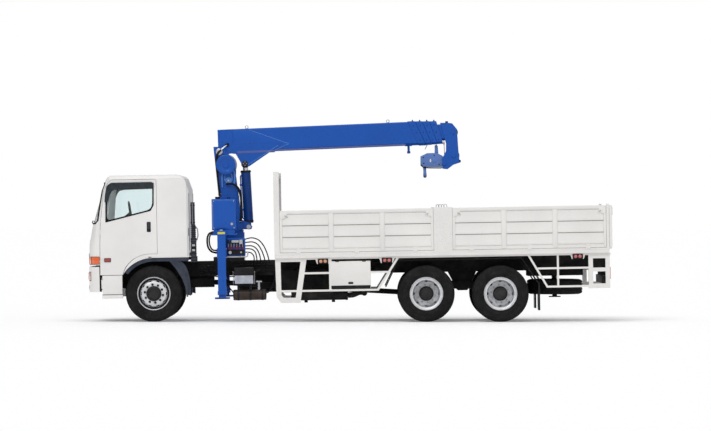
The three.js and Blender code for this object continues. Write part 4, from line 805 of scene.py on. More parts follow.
# ---------------------------------------------------------------- cab
CAB_HALF = 1145
NOSE_PATH = [(0, 0), (600, 0), (850, 0.08), (1010, 0.28), (1100, 0.57), (1145, 1)]
NOSE_FRONT = [(1048, 23), (1424, 34), (1787, 104), (2420, 299), (2606, 357)]
NOSE_SIDE = [(1048, 246), (1424, 250), (1787, 262), (2420, 336), (2606, 440)]
BUMPER_FRONT, BUMPER_SIDE = 19, 236
DOOR_WINDOW = [(369, 1837), (1182, 2032), (1238, 2131), (1245, 2531), (480, 2499), (375, 2183)]
SCREEN = [(1062, 1812), (1110, 1866), (1092, 2500), (1052, 2545)]
GRILLE_HALF = 560


def nose_x(y, z):
    """Where the cab's nose is at a width and height."""
    front, side = lerp_table(NOSE_FRONT, z), lerp_table(NOSE_SIDE, z)
    return front + lerp_table(NOSE_PATH, min(abs(y), CAB_HALF)) * (side - front)


def nose_band(shape, sign, y0, y1, z0, z1, out, depth, bevel=3.0, bumper=False, steps=10):
    """A plate that follows the curve of the nose between two widths, seen from above."""
    middle = (z0 + z1) / 2

    def on_nose(y, offset):
        if bumper:
            x = BUMPER_FRONT + lerp_table(NOSE_PATH, y) * (BUMPER_SIDE - BUMPER_FRONT)
        else:
            x = nose_x(y, middle)
        slope = max(0.0, min(1.0, (y - 600) / 545))
        lean = slope ** 2.2 * math.pi / 2
        return x - math.cos(lean) * offset, sign * (y + math.sin(lean) * offset)

    ys = [y0 + (y1 - y0) * i / steps for i in range(steps + 1)]
    outline = [on_nose(y, out) for y in ys] + [on_nose(y, out - depth) for y in ys[::-1]]
    shape.prism(outline, "z", z0, z1, bevel)


def screen_loop():
    """Points round the windscreen, on the nose."""
    corners = [*SCREEN, *[(-y, z) for y, z in SCREEN[::-1]]]
    loop = []
    for (y0, z0), (y1, z1) in zip(corners, corners[1:] + corners[:1]):
        count = max(1, int(math.hypot(y1 - y0, z1 - z0) / 90))
        loop += [(y0 + (y1 - y0) * i / count, z0 + (z1 - z0) * i / count) for i in range(count)]
    return [(nose_x(y, z) - 2, y, z) for y, z in loop]


def cab_front_details():
    Shape().tube(screen_loop(), 15, 8, closed=True).done("windscreen_seal", "cab", SEAL, "rubber")
    grille = Shape()
    for z0, z1 in ((1460, 1500), (1395, 1435), (1330, 1370)):
        x = nose_x(0, (z0 + z1) / 2)
        grille.box((x - 3, x + 14), (-GRILLE_HALF, GRILLE_HALF), (z0, z1), 3)
    for i in range(7):
        z = 1085 + i * 24
        x = nose_x(0, z)
        grille.box((x - 8, x + 10), (-GRILLE_HALF + 20, GRILLE_HALF - 20), (z, z + 9), 2)
    x = nose_x(0, 1165)
    grille.box((x - 2, x + 8), (-GRILLE_HALF, GRILLE_HALF), (1072, 1262), 4)
    for y in (-GRILLE_HALF, 0, GRILLE_HALF):
        grille.box((x - 9, x + 8), (y - 9, y + 9), (1072, 1262), 3)
    grille.done("grille", "cab", SATIN_BLACK, "plastic")
    wipers = Shape()
    for y0, y1 in ((-760, -60), (60, 780)):
        blade = [(nose_x(y, 1850) - 26, y, 1850 + 8 * math.sin((y - y0) / (y1 - y0) * math.pi))
                 for y in [y0 + (y1 - y0) * i / 8 for i in range(9)]]
        wipers.tube(blade, 8, 6)
        arm_y = y0 + (y1 - y0) * 0.5
        foot = y1 + (90 if y1 > 0 else -30)
        foot = min(foot, 850)
        wipers.tube([(nose_x(foot, 1795) - 16, foot, 1795), (nose_x(arm_y, 1825) - 42, arm_y + 60, 1830),
                     (nose_x(arm_y, 1850) - 34, arm_y, 1852)], [13, 8, 6], 8)
        wipers.rod((nose_x(foot, 1795) + 4, foot, 1795), (nose_x(foot, 1795) - 28, foot, 1795), 17, 14, 4)
    wipers.done("wipers", "cab", SATIN_BLACK, "plastic")


def lamps():
    """Corner indicators on the cab, and the headlamps in the bumper."""
    for side, sign in SIDES.items():
        corner = Shape()
        nose_band(corner, sign, 890, 1143, 1063, 1207, 10, 26, bevel=5)
        corner.finish = 1
        nose_band(corner, sign, 896, 1020, 1071, 1199, 15, 12, bevel=4)
        nose_band(corner, sign, 1030, 1141, 1071, 1199, 15, 12, bevel=4)
        corner.done(f"turn_lamp_{side}", "cab", [lens_base, AMBER], "plastic")
        head = Shape()
        nose_band(head, sign, 560, 1000, 762, 932, 5, 22, bevel=6, bumper=True)
        head.finish = 1
        nose_band(head, sign, 575, 985, 776, 918, 9, 12, bevel=4, bumper=True)
        head.finish = 2
        for y, radius in ((660, 58), (810, 58)):
            x = BUMPER_FRONT + lerp_table(NOSE_PATH, y) * (BUMPER_SIDE - BUMPER_FRONT)
            ring = [(x - 12, sign * y + radius * math.cos(t), 847 + radius * math.sin(t))
                    for t in [2 * math.pi * i / 28 for i in range(28)]]
            head.tube(ring, 5, 8, closed=True)
        head.finish = 3
        nose_band(head, sign, 880, 975, 780, 914, 11, 10, bevel=3, bumper=True)
        head.done(f"headlamp_{side}", "chassis", [SATIN_BLACK, CLEAR, CHROME, AMBER], "plastic")
        fog = Shape()
        nose_band(fog, sign, 640, 800, 616, 686, 4, 16, bevel=5, bumper=True)
        fog.finish = 1
        nose_band(fog, sign, 654, 786, 628, 674, 8, 10, bevel=4, bumper=True)
        fog.done(f"fog_lamp_{side}", "chassis", [SATIN_BLACK, CLEAR], "plastic")


lens_base = SATIN_BLACK


def bumper_details():
    lower = Shape()
    x = BUMPER_FRONT
    lower.box((x - 3, x + 10), (-500, 500), (700, 745), 3)
    lower.box((x - 3, x + 10), (-500, 500), (775, 930), 3)
    for i in range(5):
        lower.box((x - 7, x + 6), (-490, 490), (788 + i * 28, 798 + i * 28), 2)
    lower.box((x - 3, x + 10), (-600, 600), (600, 650), 4)
    lower.done("bumper_grille", "chassis", SATIN_BLACK, "plastic")
    plate = Shape()
    plate.box((x - 13, x - 7), (-165, 165), (660, 745), 2)
    plate.done("number_plate_front", "chassis", WHITE, "white")
    for side, sign in SIDES.items():
        step = Shape()
        step.box((288, 650), (sign * 1128, sign * 1149), (519, 857), 5)
        step.box((282, 656), (sign * 1050, sign * 1149), (439, 503), 6)
        step.finish = 1
        step.box((286, 652), (sign * 1060, sign * 1148), (503, 513), 1)
        step.done(f"cab_step_{side}", "chassis", [WHITE, SATIN_BLACK], "white")
        seam = Shape()
        seam.prism([(237, 566), (272, 566), (262, 1020), (237, 1040)], "y", sign * 1040, sign * 1139, 3)
        seam.done(f"bumper_seam_{side}", "chassis", SEAL, "rubber")


def door_details():
    for side, sign in SIDES.items():
        body = f"{side}_door"
        face = sign * CAB_HALF
        handle = Shape()
        handle.prism(rounded_rect(1113, 1186, 1640, 1826, 16), "y", face - sign * 8, face + sign * 5, 2)
        handle.finish = 1
        handle.prism(rounded_rect(1124, 1175, 1690, 1816, 12), "y", face, face + sign * 17, 5)
        handle.rod((1150, face, 1664), (1150, face + sign * 9, 1664), 10, 16, 2)
        handle.done(f"{side}_door_handle", body, [SATIN_BLACK, PLASTIC], "plastic")
        marker = Shape()
        marker.prism(rounded_rect(326, 452, 1102, 1178, 14), "y", face - sign * 4, face + sign * 6, 2)
        marker.finish = 1
        marker.prism(rounded_rect(333, 445, 1109, 1171, 12), "y", face, face + sign * 15, 5)
        marker.done(f"{side}_marker", body, [SATIN_BLACK, ORANGE_RED], "plastic")
        seal = Shape()
        outer, inner = rounded(offset(DOOR_WINDOW, 9), 14), rounded(offset(DOOR_WINDOW, -13), 74)
        seal.band(outer, inner, face - sign * 24, face + sign * 4)
        lip = rounded(offset(DOOR_WINDOW, -19), 74)
        seal.band(inner, lip, face - sign * 28, face - sign * 8)
        seal.done(f"{side}_window_seal", body, SEAL, "rubber")
        visor = Shape()
        outline = rounded([(350, 2190), (362, 2330), (392, 2490), (470, 2549), (1216, 2552), (1250, 2526),
                           (1256, 2442),
                           (596, 2428), (500, 2408), (452, 2330), (410, 2190)], 26, 3)
        visor.prism(outline, "y", face + sign * 4, face + sign * 20, 4)
        visor.done(f"{side}_window_visor", body, VISOR, "plastic")
        grab = Shape()
        inner = sign * (CAB_HALF - 62)
        grab.tube(smooth_path([(480, inner, 1560), (500, inner - sign * 45, 1575),
                               (760, inner - sign * 52, 1610),
                               (1000, inner - sign * 45, 1640), (1020, inner, 1650)]), 14, 10)
        grab.prism(rounded_rect(340, 1240, 1300, 1780, 60), "y", inner - sign * 12, inner + sign * 5, 5)
        grab.done(f"{side}_door_trim", body, PLASTIC, "plastic")


def cab_side_details():
    """The white lip round the wheel arch, its strip to the back, and the rear edge seal."""
    for side, sign in SIDES.items():
        lip = Shape()
        inner = arc(FRONT_AXLE_X, 515, 652, 90, 141, 14)
        outer = [(1132, 1237), (1040, 1224), (948, 1194), (853, 1140), (772, 1066), (724, 1004), (690, 936),
                 (669, 868)]
        lip.prism([*outer[::-1], *inner], "y", sign * 1095, sign * 1143, 4)
        lip.box((1130, 1872), (sign * 1095, sign * 1143), (1168, 1194), 4)
        lip.done(f"cab_arch_lip_{side}", "cab", WHITE, "white")
        back = Shape()
        back.box((1868, 1886), (sign * 1070, sign * 1096), (1300, 2340), 4)
        back.box((1872, 1887), (sign * 1098, sign * 1126), (1560, 1700), 4)
        back.done(f"cab_back_seal_{side}", "cab", SEAL, "rubber")
        valance = Shape()
        inner = smooth_path([(1540, 0, 1088), (1606, 0, 1050), (1690, 0, 952), (1756, 0, 828),
                             (1792, 0, 660), (1804, 0, 492)], 4)
        outer = smooth_path([(1902, 0, 466), (1896, 0, 620), (1872, 0, 828), (1836, 0, 950), (1790, 0, 1040),
                             (1720, 0, 1102)], 4)
        outline = [(p.x, p.z) for p in [*inner, *outer]]
        valance.prism(outline, "y", sign * 1112, sign * 1124, 4)
        valance.done(f"mudguard_valance_{side}", "chassis", MUDGUARD, "plastic")


def padded_block(x, y, z, crown, channels, across, cells=22):
    """A stuffed pad: a rounded block with crowned faces, sides drawn in between its corners,
    and sewn channels across its top."""
    shape = Shape()
    size = [b - a for a, b in (x, y, z)]
    centre = [(a + b) / 2 for a, b in (x, y, z)]
    made = bmesh.ops.create_cube(shape.bm, size=2.0)
    bmesh.ops.subdivide_edges(shape.bm, edges=shape.bm.edges[:], cuts=cells, use_grid_fill=True)
    for v in made["verts"] and shape.bm.verts:
        p = v.co
        blunt = [math.copysign(abs(c) ** 1.0, c) for c in p]
        length = max(abs(c) for c in blunt)
        round_length = sum(abs(c) ** 6 for c in blunt) ** (1 / 6)
        q = [c * length / round_length for c in blunt]
        bulge = 1 + crown * (1 - q[0] ** 2) * (1 - q[1] ** 2) if abs(q[2]) > 0.6 else 1
        draw = 1 - 0.035 * (1 - abs(q[2]) ** 2)
        stitch = 0.0
        if q[2] > 0.3:
            run = q[across] * channels * math.pi
            stitch = 0.06 * max(0.0, math.cos(run)) ** 14 * (1 - max(abs(q[0]), abs(q[1])) ** 6)
        v.co = (centre[0] + q[0] * size[0] / 2 * draw, centre[1] + q[1] * size[1] / 2 * draw,
                centre[2] + (q[2] * bulge - stitch) * size[2] / 2 / (1 + crown))
    return shape


def seats():
    """Driver's and passenger's seats: a cushion and a back each, on a plain stand."""
    first = True
    for side, sign in SIDES.items():
        y = sorted((sign * 275, sign * 785))
        cushion = padded_block((850, 1400), y, (1460, 1600), 0.12, 4, 1)
        piece = cushion.done(f"seat_cushion_{side}", "cab", SEAT_CLOTH, "seat",
                             replaces="seats" if first else (), smooth=80)
        first = False
        back = padded_block((-120, 590), y, (-60, 62), 0.12, 4, 1)
        lean = Matrix.Translation((1415, 0, 1590)) @ Matrix.Rotation(math.radians(-82), 4, "Y")
        back.to_row = SPRUNG @ lean
        piece = back.done(f"seat_back_{side}", "cab", SEAT_CLOTH, "seat", smooth=80)
        stand = Shape()
        stand.box((960, 1370), (sign * 370, sign * 690), (1252, 1470), 10)
        stand.box((900, 1420), (sign * 320, sign * 740), (1400, 1466), 8)
        stand.done(f"seat_stand_{side}", "cab", SATIN_BLACK, "plastic")


# ---------------------------------------------------------------- load bed
bed_low, bed_high = sprung_box("bed_deck")
TAIL = bed_high.x - 56  # the deck's end; the tailgate's lugs stand out behind it
BED_HALF = 1230
RAIL_TOP = 1214
GATE_TOP = 1985
GATE_RECESS = 8


def board_section(z0, z1, face, out):
    """A pressed board, (y, z): a rib along its foot, sloping back to a flat face."""
    return [(face, z0 + 10), (face + out * 13, z0 + 12), (face + out * 14, z0 + 16),
            (face + out * 14, z0 + 56),
            (face + out * 4, z0 + 88), (face + out * 3, z1 - 3), (face, z1 - 2)]


def gate_panel(shape, across, ends, z0, z1, face, out):
    """Three boards with grey strips under them, painted shadow in the gaps between boards, and a dark strip
    painted as the shadow under the top rail.
    """
    step = (z1 - z0) / 3
    for row in range(3):
        a, b = z0 + step * row, z0 + step * (row + 1)
        shape.finish = 0
        shape.prism(board_section(a, b, face, out), across, *ends)
        if row:
            # Grey strip under each board: painted shadow in the gap.
            shape.finish = 1
            seam = [(face, a - 2), (face + out * 2, a - 2), (face + out * 2, a + 10), (face, a + 10)]
            shape.prism(seam, across, *ends)
    shape.finish = 2
    top = [(face, z1 - 4), (face + out * 3.6, z1 - 4), (face + out * 3.6, z1 + 13), (face, z1 + 13)]
    shape.prism(top, across, *ends)
    shape.finish = 0


def gate_details():
    for side, sign in SIDES.items():
        for end in ("front", "rear"):
            node = f"gate_{side}_{end}"
            low, high = sprung_box(node)
            face = sign * (BED_HALF - GATE_RECESS)
            z0, z1 = RAIL_TOP + 5 + 60, GATE_TOP - 70
            third = (high.x - low.x) / 3
            boards = Shape()
            for bay in range(3):
                x0, x1 = low.x + third * bay + 46, low.x + third * (bay + 1) - 46
                gate_panel(boards, "x", (x0, x1), z0, z1, face, sign)
            out = sorted((sign * (BED_HALF - 2), sign * (BED_HALF + 9)))
            for bay in range(4):
                x = low.x + third * bay
                x0, x1 = max(x - 43, low.x + 1), min(x + 43, high.x - 1)
                boards.box((x0, x1), out, (z0 - 50, GATE_TOP - 58), 3)
            boards.box((low.x + 1, high.x - 1), out, (GATE_TOP - 56, GATE_TOP - 2), 4)
            boards.done(f"{node}_boards", node, [WHITE_BED, BOARD_SHADOW_GREY, RAIL_SHADE], "white")
            fittings = Shape()
            for u in (0.12, 0.5, 0.88):
                x = low.x + (high.x - low.x) * u
                fittings.prism([(x - 42, 1222), (x + 42, 1222), (x + 36, 1290), (x - 36, 1290)],
                               "y", sign * BED_HALF, sign * (BED_HALF + 7), 2)
                for dx in (-24, 24):
                    fittings.bolt((x + dx, sign * (BED_HALF + 7), 1268), (0, sign, 0), 7, 6)
            for x, way in ((low.x, 1), (high.x, -1)):
                corner = [(x + way * 4, GATE_TOP - 40), (x + way * 132, GATE_TOP - 40),
                          (x + way * 132, GATE_TOP - 72),
                          (x + way * 112, GATE_TOP - 112), (x + way * 76, GATE_TOP - 146),
                          (x + way * 4, GATE_TOP - 168)]
                fittings.prism(corner, "y", sign * (BED_HALF - 4), sign * (BED_HALF + 13), 3)
            fittings.done(f"{node}_fittings", node, WHITE_BED, "white")
            lever = Shape()
            for x, way in ((low.x, 1), (high.x, -1)):
                lever.rod((x + way * 98, sign * (BED_HALF + 5), GATE_TOP - 96),
                          (x + way * 98, sign * (BED_HALF + 17), GATE_TOP - 96), 12, 16, 3)
                lever.tube([(x + way * 98, sign * (BED_HALF + 15), GATE_TOP - 96),
                            (x + way * 150, sign * (BED_HALF + 16), GATE_TOP - 128)], [7, 5], 8)
            lever.done(f"{node}_latches", node, STEEL, "steel")
    low, high = sprung_box("tailgate")
    face = TAIL + 6 + 40 - GATE_RECESS
    tail_half = BED_HALF - 10
    boards = Shape()
    z0, z1 = RAIL_TOP + 65, GATE_TOP - 70
    for bay in (-1, 0, 1):
        centre, reach = bay * tail_half * 2 / 3, tail_half / 3 - 46
        gate_panel(boards, "y", (centre - reach, centre + reach), z0, z1, face, 1)
    for bay in range(4):
        y = -tail_half + tail_half * 2 / 3 * bay
        y0, y1 = max(y - 43, -tail_half + 1), min(y + 43, tail_half - 1)
        boards.box((face + 6, face + 17), (y0, y1), (z0 - 50, GATE_TOP - 58), 3)
    boards.box((face + 6, face + 17), (-tail_half + 1, tail_half - 1), (GATE_TOP - 56, GATE_TOP - 2), 4)
    boards.done("tailgate_boards", "tailgate", [WHITE_BED, BOARD_SHADOW_GREY, RAIL_SHADE], "white")
    fittings = Shape()
    out = face + GATE_RECESS
    for y in (-tail_half + 60, tail_half - 60):
        fittings.box((out, out + 9), (y - 34, y + 34), (GATE_TOP - 120, GATE_TOP - 12), 3)
        fittings.tube([(out + 13, y, GATE_TOP - 40), (out + 15, y, GATE_TOP - 180)], [9, 7], 8)
    for y in (-896, 0, 896):
        fittings.prism([(y - 42, 1222), (y + 42, 1222), (y + 36, 1290), (y - 36, 1290)], "x", out, out + 7, 2)
    fittings.done("tailgate_fittings", "tailgate", WHITE_BED, "white")


def deck_details():
    boards = Shape()
    x0, x1 = bed_low.x + 90, TAIL - 4
    inner = BED_HALF - 45
    count = 12
    width = 2 * inner / count
    for i in range(count):
        y = -inner + width * i
        boards.box((x0, x1), (y + 2, y + width - 2), (RAIL_TOP - 1, RAIL_TOP + 3.5), 1.5, 1)
    boards.done("deck_boards", "chassis", DECK_WOOD)
    bolts = Shape()
    for x in [x0 + 80 + i * (x1 - x0 - 160) / 9 for i in range(10)]:
        for i in range(count):
            y = -inner + width * (i + 0.5)
            bolts.rod((x, y, RAIL_TOP + 3), (x, y, RAIL_TOP + 5), 9, 8)
    bolts.done("deck_screws", "chassis", STEEL, "steel")
    edge = Shape()
    for sign in SIDES.values():
        edge.box((bed_low.x + 4, TAIL - 4), (sign * (BED_HALF - 1), sign * (BED_HALF + 4)), (1118, 1130), 2)
        edge.box((bed_low.x + 4, TAIL - 4), (sign * (BED_HALF - 1), sign * (BED_HALF + 3)), (1180, 1192), 2)
    edge.done("deck_edge_beads", "chassis", WHITE_BED, "white")
    caps = Shape()
    for sign in SIDES.values():
        for x in (6462, 6558):
            y = sign * (BED_HALF - 30)
            caps.tube(smooth_path([(x - 26, y, 1996), (x - 26, y, 2036), (x, y, 2050), (x + 26, y, 2036),
                                   (x + 26, y, 1996)], 4), 6, 8)
    caps.done("post_handles", "chassis", STEEL, "steel")


def twin_lamp(shape, x, z, y, sign, colour):
    """Two round lenses in a black holder, between two folded brackets."""
    shape.finish = 0
    shape.box((x - 92, x + 92), (y, y + sign * 26), (z - 44, z + 44), 5)
    shape.finish = 2
    for way in (-1, 1):
        wing = [(x + way * 150, z + 62), (x + way * 96, z + 62), (x + way * 96, z - 50),
                (x + way * 108, z - 50)]
        shape.prism(wing, "y", y - sign * 4, y + sign * 14, 2)
    for dx in (-40, 40):
        shape.finish = 0
        ring = [(x + dx + 34 * math.cos(t), y + sign * 27, z + 34 * math.sin(t))
                for t in [2 * math.pi * i / 24 for i in range(24)]]
        shape.tube(ring, 4.5, 8, closed=True)
        shape.finish = colour
        dome = [(0, 20), (32, 20), (31, 30), (24, 37), (12, 40), (0, 41)]
        shape.lathe(dome, (x + dx, y, z), sides=28, closed=False, turn=sign)


def bed_lamps():
    for side, sign in SIDES.items():
        y = sign * (BED_HALF - 58)
        shape = Shape()
        twin_lamp(shape, 4314, 1053, y, sign, 1)
        twin_lamp(shape, 5479, 1051, y, sign, 3)
        twin_lamp(shape, 8956, 1063, y, sign, 3)
        shape.done(f"side_lamps_{side}", "chassis", [SATIN_BLACK, PEACH, WHITE_BED, PINK_RED], "plastic")


# ---------------------------------------------------------------- rear end
def rear_details():
    high = sprung_box("rear_underrun")[1]
    x = high.x
    cluster = Shape()
    for sign in SIDES.values():
        for i, finish in enumerate((2, 1, 1, 3)):
            y0, y1 = sorted((sign * (560 + i * 120), sign * (672 + i * 120)))
            cluster.finish = 0
            cluster.box((x - 4, x + 22), (y0 - 3, y1 + 3), (582, 680), 4)
            cluster.finish = finish
            cluster.box((x + 20, x + 33), (y0 + 6, y1 - 6), (592, 670), 5)
        cluster.finish = 1
        edge = sign * 1128
        cluster.box((TAIL - 6, TAIL + 16), (edge - 30, edge + 30), (640, 860), 5)
    cluster.done("tail_lamps", "chassis", [SATIN_BLACK, RED, AMBER, CLEAR], "plastic")
    plate = Shape()
    plate.box((x + 1, x + 6), (-165, 165), (590, 675), 2)
    plate.done("number_plate_rear", "chassis", WHITE, "white")
    bolts = Shape()
    for y in (-400, -380, 380, 400):
        bolts.bolt((x, y, 585), (1, 0, 0), 10, 10)
        bolts.bolt((x, y, 675), (1, 0, 0), 10, 10)
    bolts.done("underrun_bolts", "chassis", STEEL, "steel")


def toolbox_details():
    """The box's door, which stands proud of the guard rails, over its dark sill."""
    for side, sign in SIDES.items():
        lid = Shape()
        lid.prism(rounded_rect(4452, 5176, 604, 1046, 10), "y", sign * 1140, sign * 1188, 5)
        lid.finish = 1
        lid.box((4458, 5170), (sign * 1140, sign * 1183), (546, 602), 4)
        lid.prism(rounded_rect(4770, 4858, 628, 668, 8), "y", sign * 1186, sign * 1192, 2)
        for x in (4570, 5058):
            lid.rod((x - 34, sign * 1188, 1040), (x + 34, sign * 1188, 1040), 6, 12, 2)
        lid.done(f"toolbox_lid_{side}", "chassis", [WHITE_BED, SATIN_BLACK], "white")


# ---------------------------------------------------------------- chassis fittings
def chassis_details():
    bolts = Shape()
    for sign in SIDES.values():
        y = sign * 425
        for i in range(52):
            x = 2050 + i * 145
            for z in (840, 1050):
                bolts.bolt((x, y, z), (0, sign, 0), 8, 7, washer=False)
    bolts.done("frame_bolts", "chassis", CAST, "black")
    pipes = Shape()
    for sign in SIDES.values():
        for z in (885, 912, 1000):
            pipes.rod((2050, sign * 438, z), (5400, sign * 438, z), 9, 10)
        for i in range(7):
            pipes.box((2150 + i * 520, 2186 + i * 520), (sign * 424, sign * 452), (868, 930), 3)
    pipes.done("frame_pipes", "chassis", SATIN_BLACK, "black")
    for side, sign in SIDES.items():
        battery = Shape()
        battery.box((2690, 3044), (sign * 752, sign * 1096), (820, 962), 14)
        battery.box((2672, 3062), (sign * 900, sign * 1100), (846, 866), 5)
        battery.finish = 1
        battery.box((2700, 3034), (sign * 1086, sign * 1094), (668, 816), 3)
        for i in range(12):
            x = 2708 + i * 27
            battery.box((x, x + 14), (sign * 1090, sign * 1100), (674, 810), 3)
        battery.finish = 2
        for x in (2672, 3060):
            battery.rod((x, sign * 1060, 660), (x, sign * 1060, 880), 6, 8)
            battery.bolt((x, sign * 1060, 880), (0, 0, 1), 11, 12)
        if side == "left":
            battery.done("battery_cover_left", "chassis", [SATIN_BLACK, GREY_BOX, STEEL], "plastic")
        else:
            battery.bm.free()
    tank = Shape()
    turn = Matrix.Translation((0, -960, 462)) @ Matrix.Rotation(math.radians(-90), 4, "Z")
    tank.to_row = SPRUNG @ turn
    ends = [(0, 2660), (60, 2662), (88, 2674), (98, 2694), (98, 3238), (88, 3258), (60, 3270), (0, 3272)]
    tank.lathe([(r, x) for r, x in ends], sides=40, closed=False)
    tank.finish = 1
    for x in (2742, 2962, 3180):
        tank.lathe([(97, x), (102, x), (102, x + 34), (97, x + 34)], sides=40)
    tank.done("air_tank_left", "chassis", [BROWN_TANK, SATIN_BLACK], "black")
    filter_ = Shape()
    filter_.box((3080, 3190), (-1010, -960), (690, 712), 4)
    filter_.rod((3135, -990, 560), (3135, -990, 700), 24, 20, 4)
    filter_.rod((3135, -990, 548), (3135, -990, 600), 30, 20, 6)
    filter_.done("drain_filter", "chassis", STEEL, "steel")
    intake = Shape()
    for z in (1100, 1160, 1220, 1440, 1490):
        intake.box((1904, 2012), (-1096, -924), (z, z + 18), 5)
    for i in range(6):
        z = 1536 + i * 36
        intake.box((1914, 2004), (-1088, -962), (z, z + 18), 6)
    for z in (1790, 2100):
        intake.box((1909, 1991), (-1095, -945), (z, z + 22), 5)
    for i in range(5):
        intake.box((1922, 1978), (-1094, -1088), (1850 + i * 44, 1866 + i * 44), 2)
    intake.box((1916, 2000), (-1100, -1088), (1256, 1420), 8)
    intake.finish = 1
    for z in (1276, 1366):
        intake.box((1930, 1986), (-1106, -1096), (z, z + 36), 5)
    intake.box((1945, 1951), (-1096, -1086), (1780, 2150), 2)
    intake.tube([(2016, -1010, 1470), (2040, -1010, 1560), (2032, -1010, 1680), (2000, -1010, 1720)], 11, 10)
    intake.done("intake_ribs", "chassis", [SATIN_BLACK, STEEL], "plastic")
    muffler = Shape()
    low = sprung_box("silencer")[0]
    sign = -1 if low.y < 0 else 1
    y0, y1 = sorted((sign * 634, sign * 1006))
    for x in (3740, 3972, 4474, 4722):
        muffler.prism(rounded_rect(y0, y1, 333, 501, 62), "x", x, x + 24, 3)
    muffler.tube(smooth_path([(4757, sign * 820, 420), (4860, sign * 820, 430), (4960, sign * 860, 470),
                              (5040, sign * 960, 470), (5060, sign * 1080, 460)]), 52, 20)
    muffler.done("silencer_bands", "chassis", CHASSIS, "black")


# ---------------------------------------------------------------- crane
def crane_base_details():
    tank = Shape()
    tank.box((2286, 2742), (-1000, -630), (1556, 1588), 5)
    tank.finish = 1
    tank.rod((2400, -800, 2220), (2400, -800, 2262), 44, 24, 6)
    tank.rod((2600, -760, 2220), (2600, -760, 2250), 30, 24, 5)
    tank.finish = 2
    tank.box((2312, 2318), (-1016, -1008), (1700, 2150), 2)
    for x, z in ((2330, 1690), (2330, 2180), (2700, 1690), (2700, 2180)):
        tank.bolt((x, -1010, z), (0, -1, 0), 8, 6)
    tank.rod((2660, -1008, 1760), (2660, -1020, 1760), 26, 20, 3)
    tank.done("oil_tank_fittings", "chassis", [BLUE, SATIN_BLACK, STEEL], "blue")
    valves = Shape()
    y = -960
    valves.prism(rounded_rect(2548, 2900, 1172, 1500, 20), "y", y + 14, y - 8, 3)
    valves.finish = 1
    for i in range(6):
        x = 2590 + i * 52
        valves.box((x - 18, x + 18), (y, y - 40), (1330, 1470), 4)
        valves.rod((x, y - 20, 1330), (x, y - 20, 1300), 13, 12, 2)
    valves.box((2566, 2882), (y, y - 30), (1190, 1290), 5)
    valves.finish = 2
    for i in range(6):
        x = 2590 + i * 52
        valves.tube([(x, y - 30, 1400), (x, y - 70, 1395), (x, y - 80, 1330)], 5.5, 8)
    valves.rod((2620, y - 30, 1240), (2620, y - 40, 1240), 30, 24, 3)
    valves.rod((2820, y - 30, 1240), (2820, y - 48, 1240), 18, 20, 3)
    valves.box((2650, 2780), (y - 38, y - 43), (1420, 1462), 1)
    valves.box((2790, 2850), (y - 38, y - 43), (1390, 1470), 1)
    valves.tube(smooth_path([(2560, y - 20, 1158), (2760, y - 22, 1156), (2900, y - 22, 1158),
                             (2936, y - 20, 1180), (2942, y, 1250)]), 12, 10)
    valves.finish = 3
    for i in range(6):
        x = 2590 + i * 52
        valves.rod((x, y - 80, 1342), (x, y - 82, 1302), 12, 14, 4)
    valves.done("control_valves", "chassis", [BLUE, SATIN_BLACK, STEEL, RED_KNOB], "plastic")
    for side, sign in SIDES.items():
        box_end = Shape()
        box_end.box((2378, 2562), (sign * 962, sign * 1001), (1136, 1324), 5)
        box_end.finish = 1
        for x in (2392, 2548):
            for z in (1150, 1310):
                box_end.bolt((x, sign * 1001, z), (0, sign, 0), 7, 6)
        box_end.finish = 0
        box_end.done(f"outrigger_box_flange_{side}", "chassis", [BLUE, STEEL], "blue")


# Each hose: its route as (x, distance inboard of the valve box's face, z), and its radius.
BASE_HOSES = [
    ([(2860, 30, 1240), (2925, 30, 1240), (3000, 34, 1226), (3046, 70, 1170), (3052, 170, 1100),
      (3040, 300, 1050),
      (3030, 440, 1020), (3024, 535, 1010)], 11),
    ([(2860, 90, 1300), (2925, 90, 1302), (3010, 94, 1292), (3074, 120, 1240), (3096, 200, 1150),
      (3100, 320, 1080),
      (3100, 440, 1046), (3100, 535, 1034)], 11),
    ([(2860, 30, 1352), (2925, 30, 1356), (3020, 30, 1352), (3100, 50, 1300), (3146, 130, 1210),
      (3164, 250, 1120),
      (3170, 400, 1062), (3172, 535, 1040)], 11),
    ([(2860, 90, 1412), (2925, 90, 1420), (3030, 90, 1424), (3120, 110, 1380), (3184, 180, 1280),
      (3224, 290, 1170),
      (3240, 420, 1096), (3244, 535, 1060)], 11),
    ([(2860, 30, 1462), (2930, 28, 1486), (3030, 26, 1500), (3140, 40, 1460), (3226, 110, 1360),
      (3282, 230, 1230),
      (3310, 390, 1120), (3318, 535, 1062)], 11),
    ([(2326, 110, 1612), (2290, 110, 1612), (2240, 110, 1590), (2208, 110, 1530), (2200, 112, 1440),
      (2216, 116, 1340), (2270, 120, 1266), (2340, 122, 1242), (2390, 122, 1240)], 17),
    ([(2326, 190, 1590), (2290, 190, 1588), (2256, 190, 1560), (2238, 190, 1500), (2236, 190, 1430),
      (2254, 190, 1350), (2300, 190, 1290), (2390, 190, 1280)], 14),
]
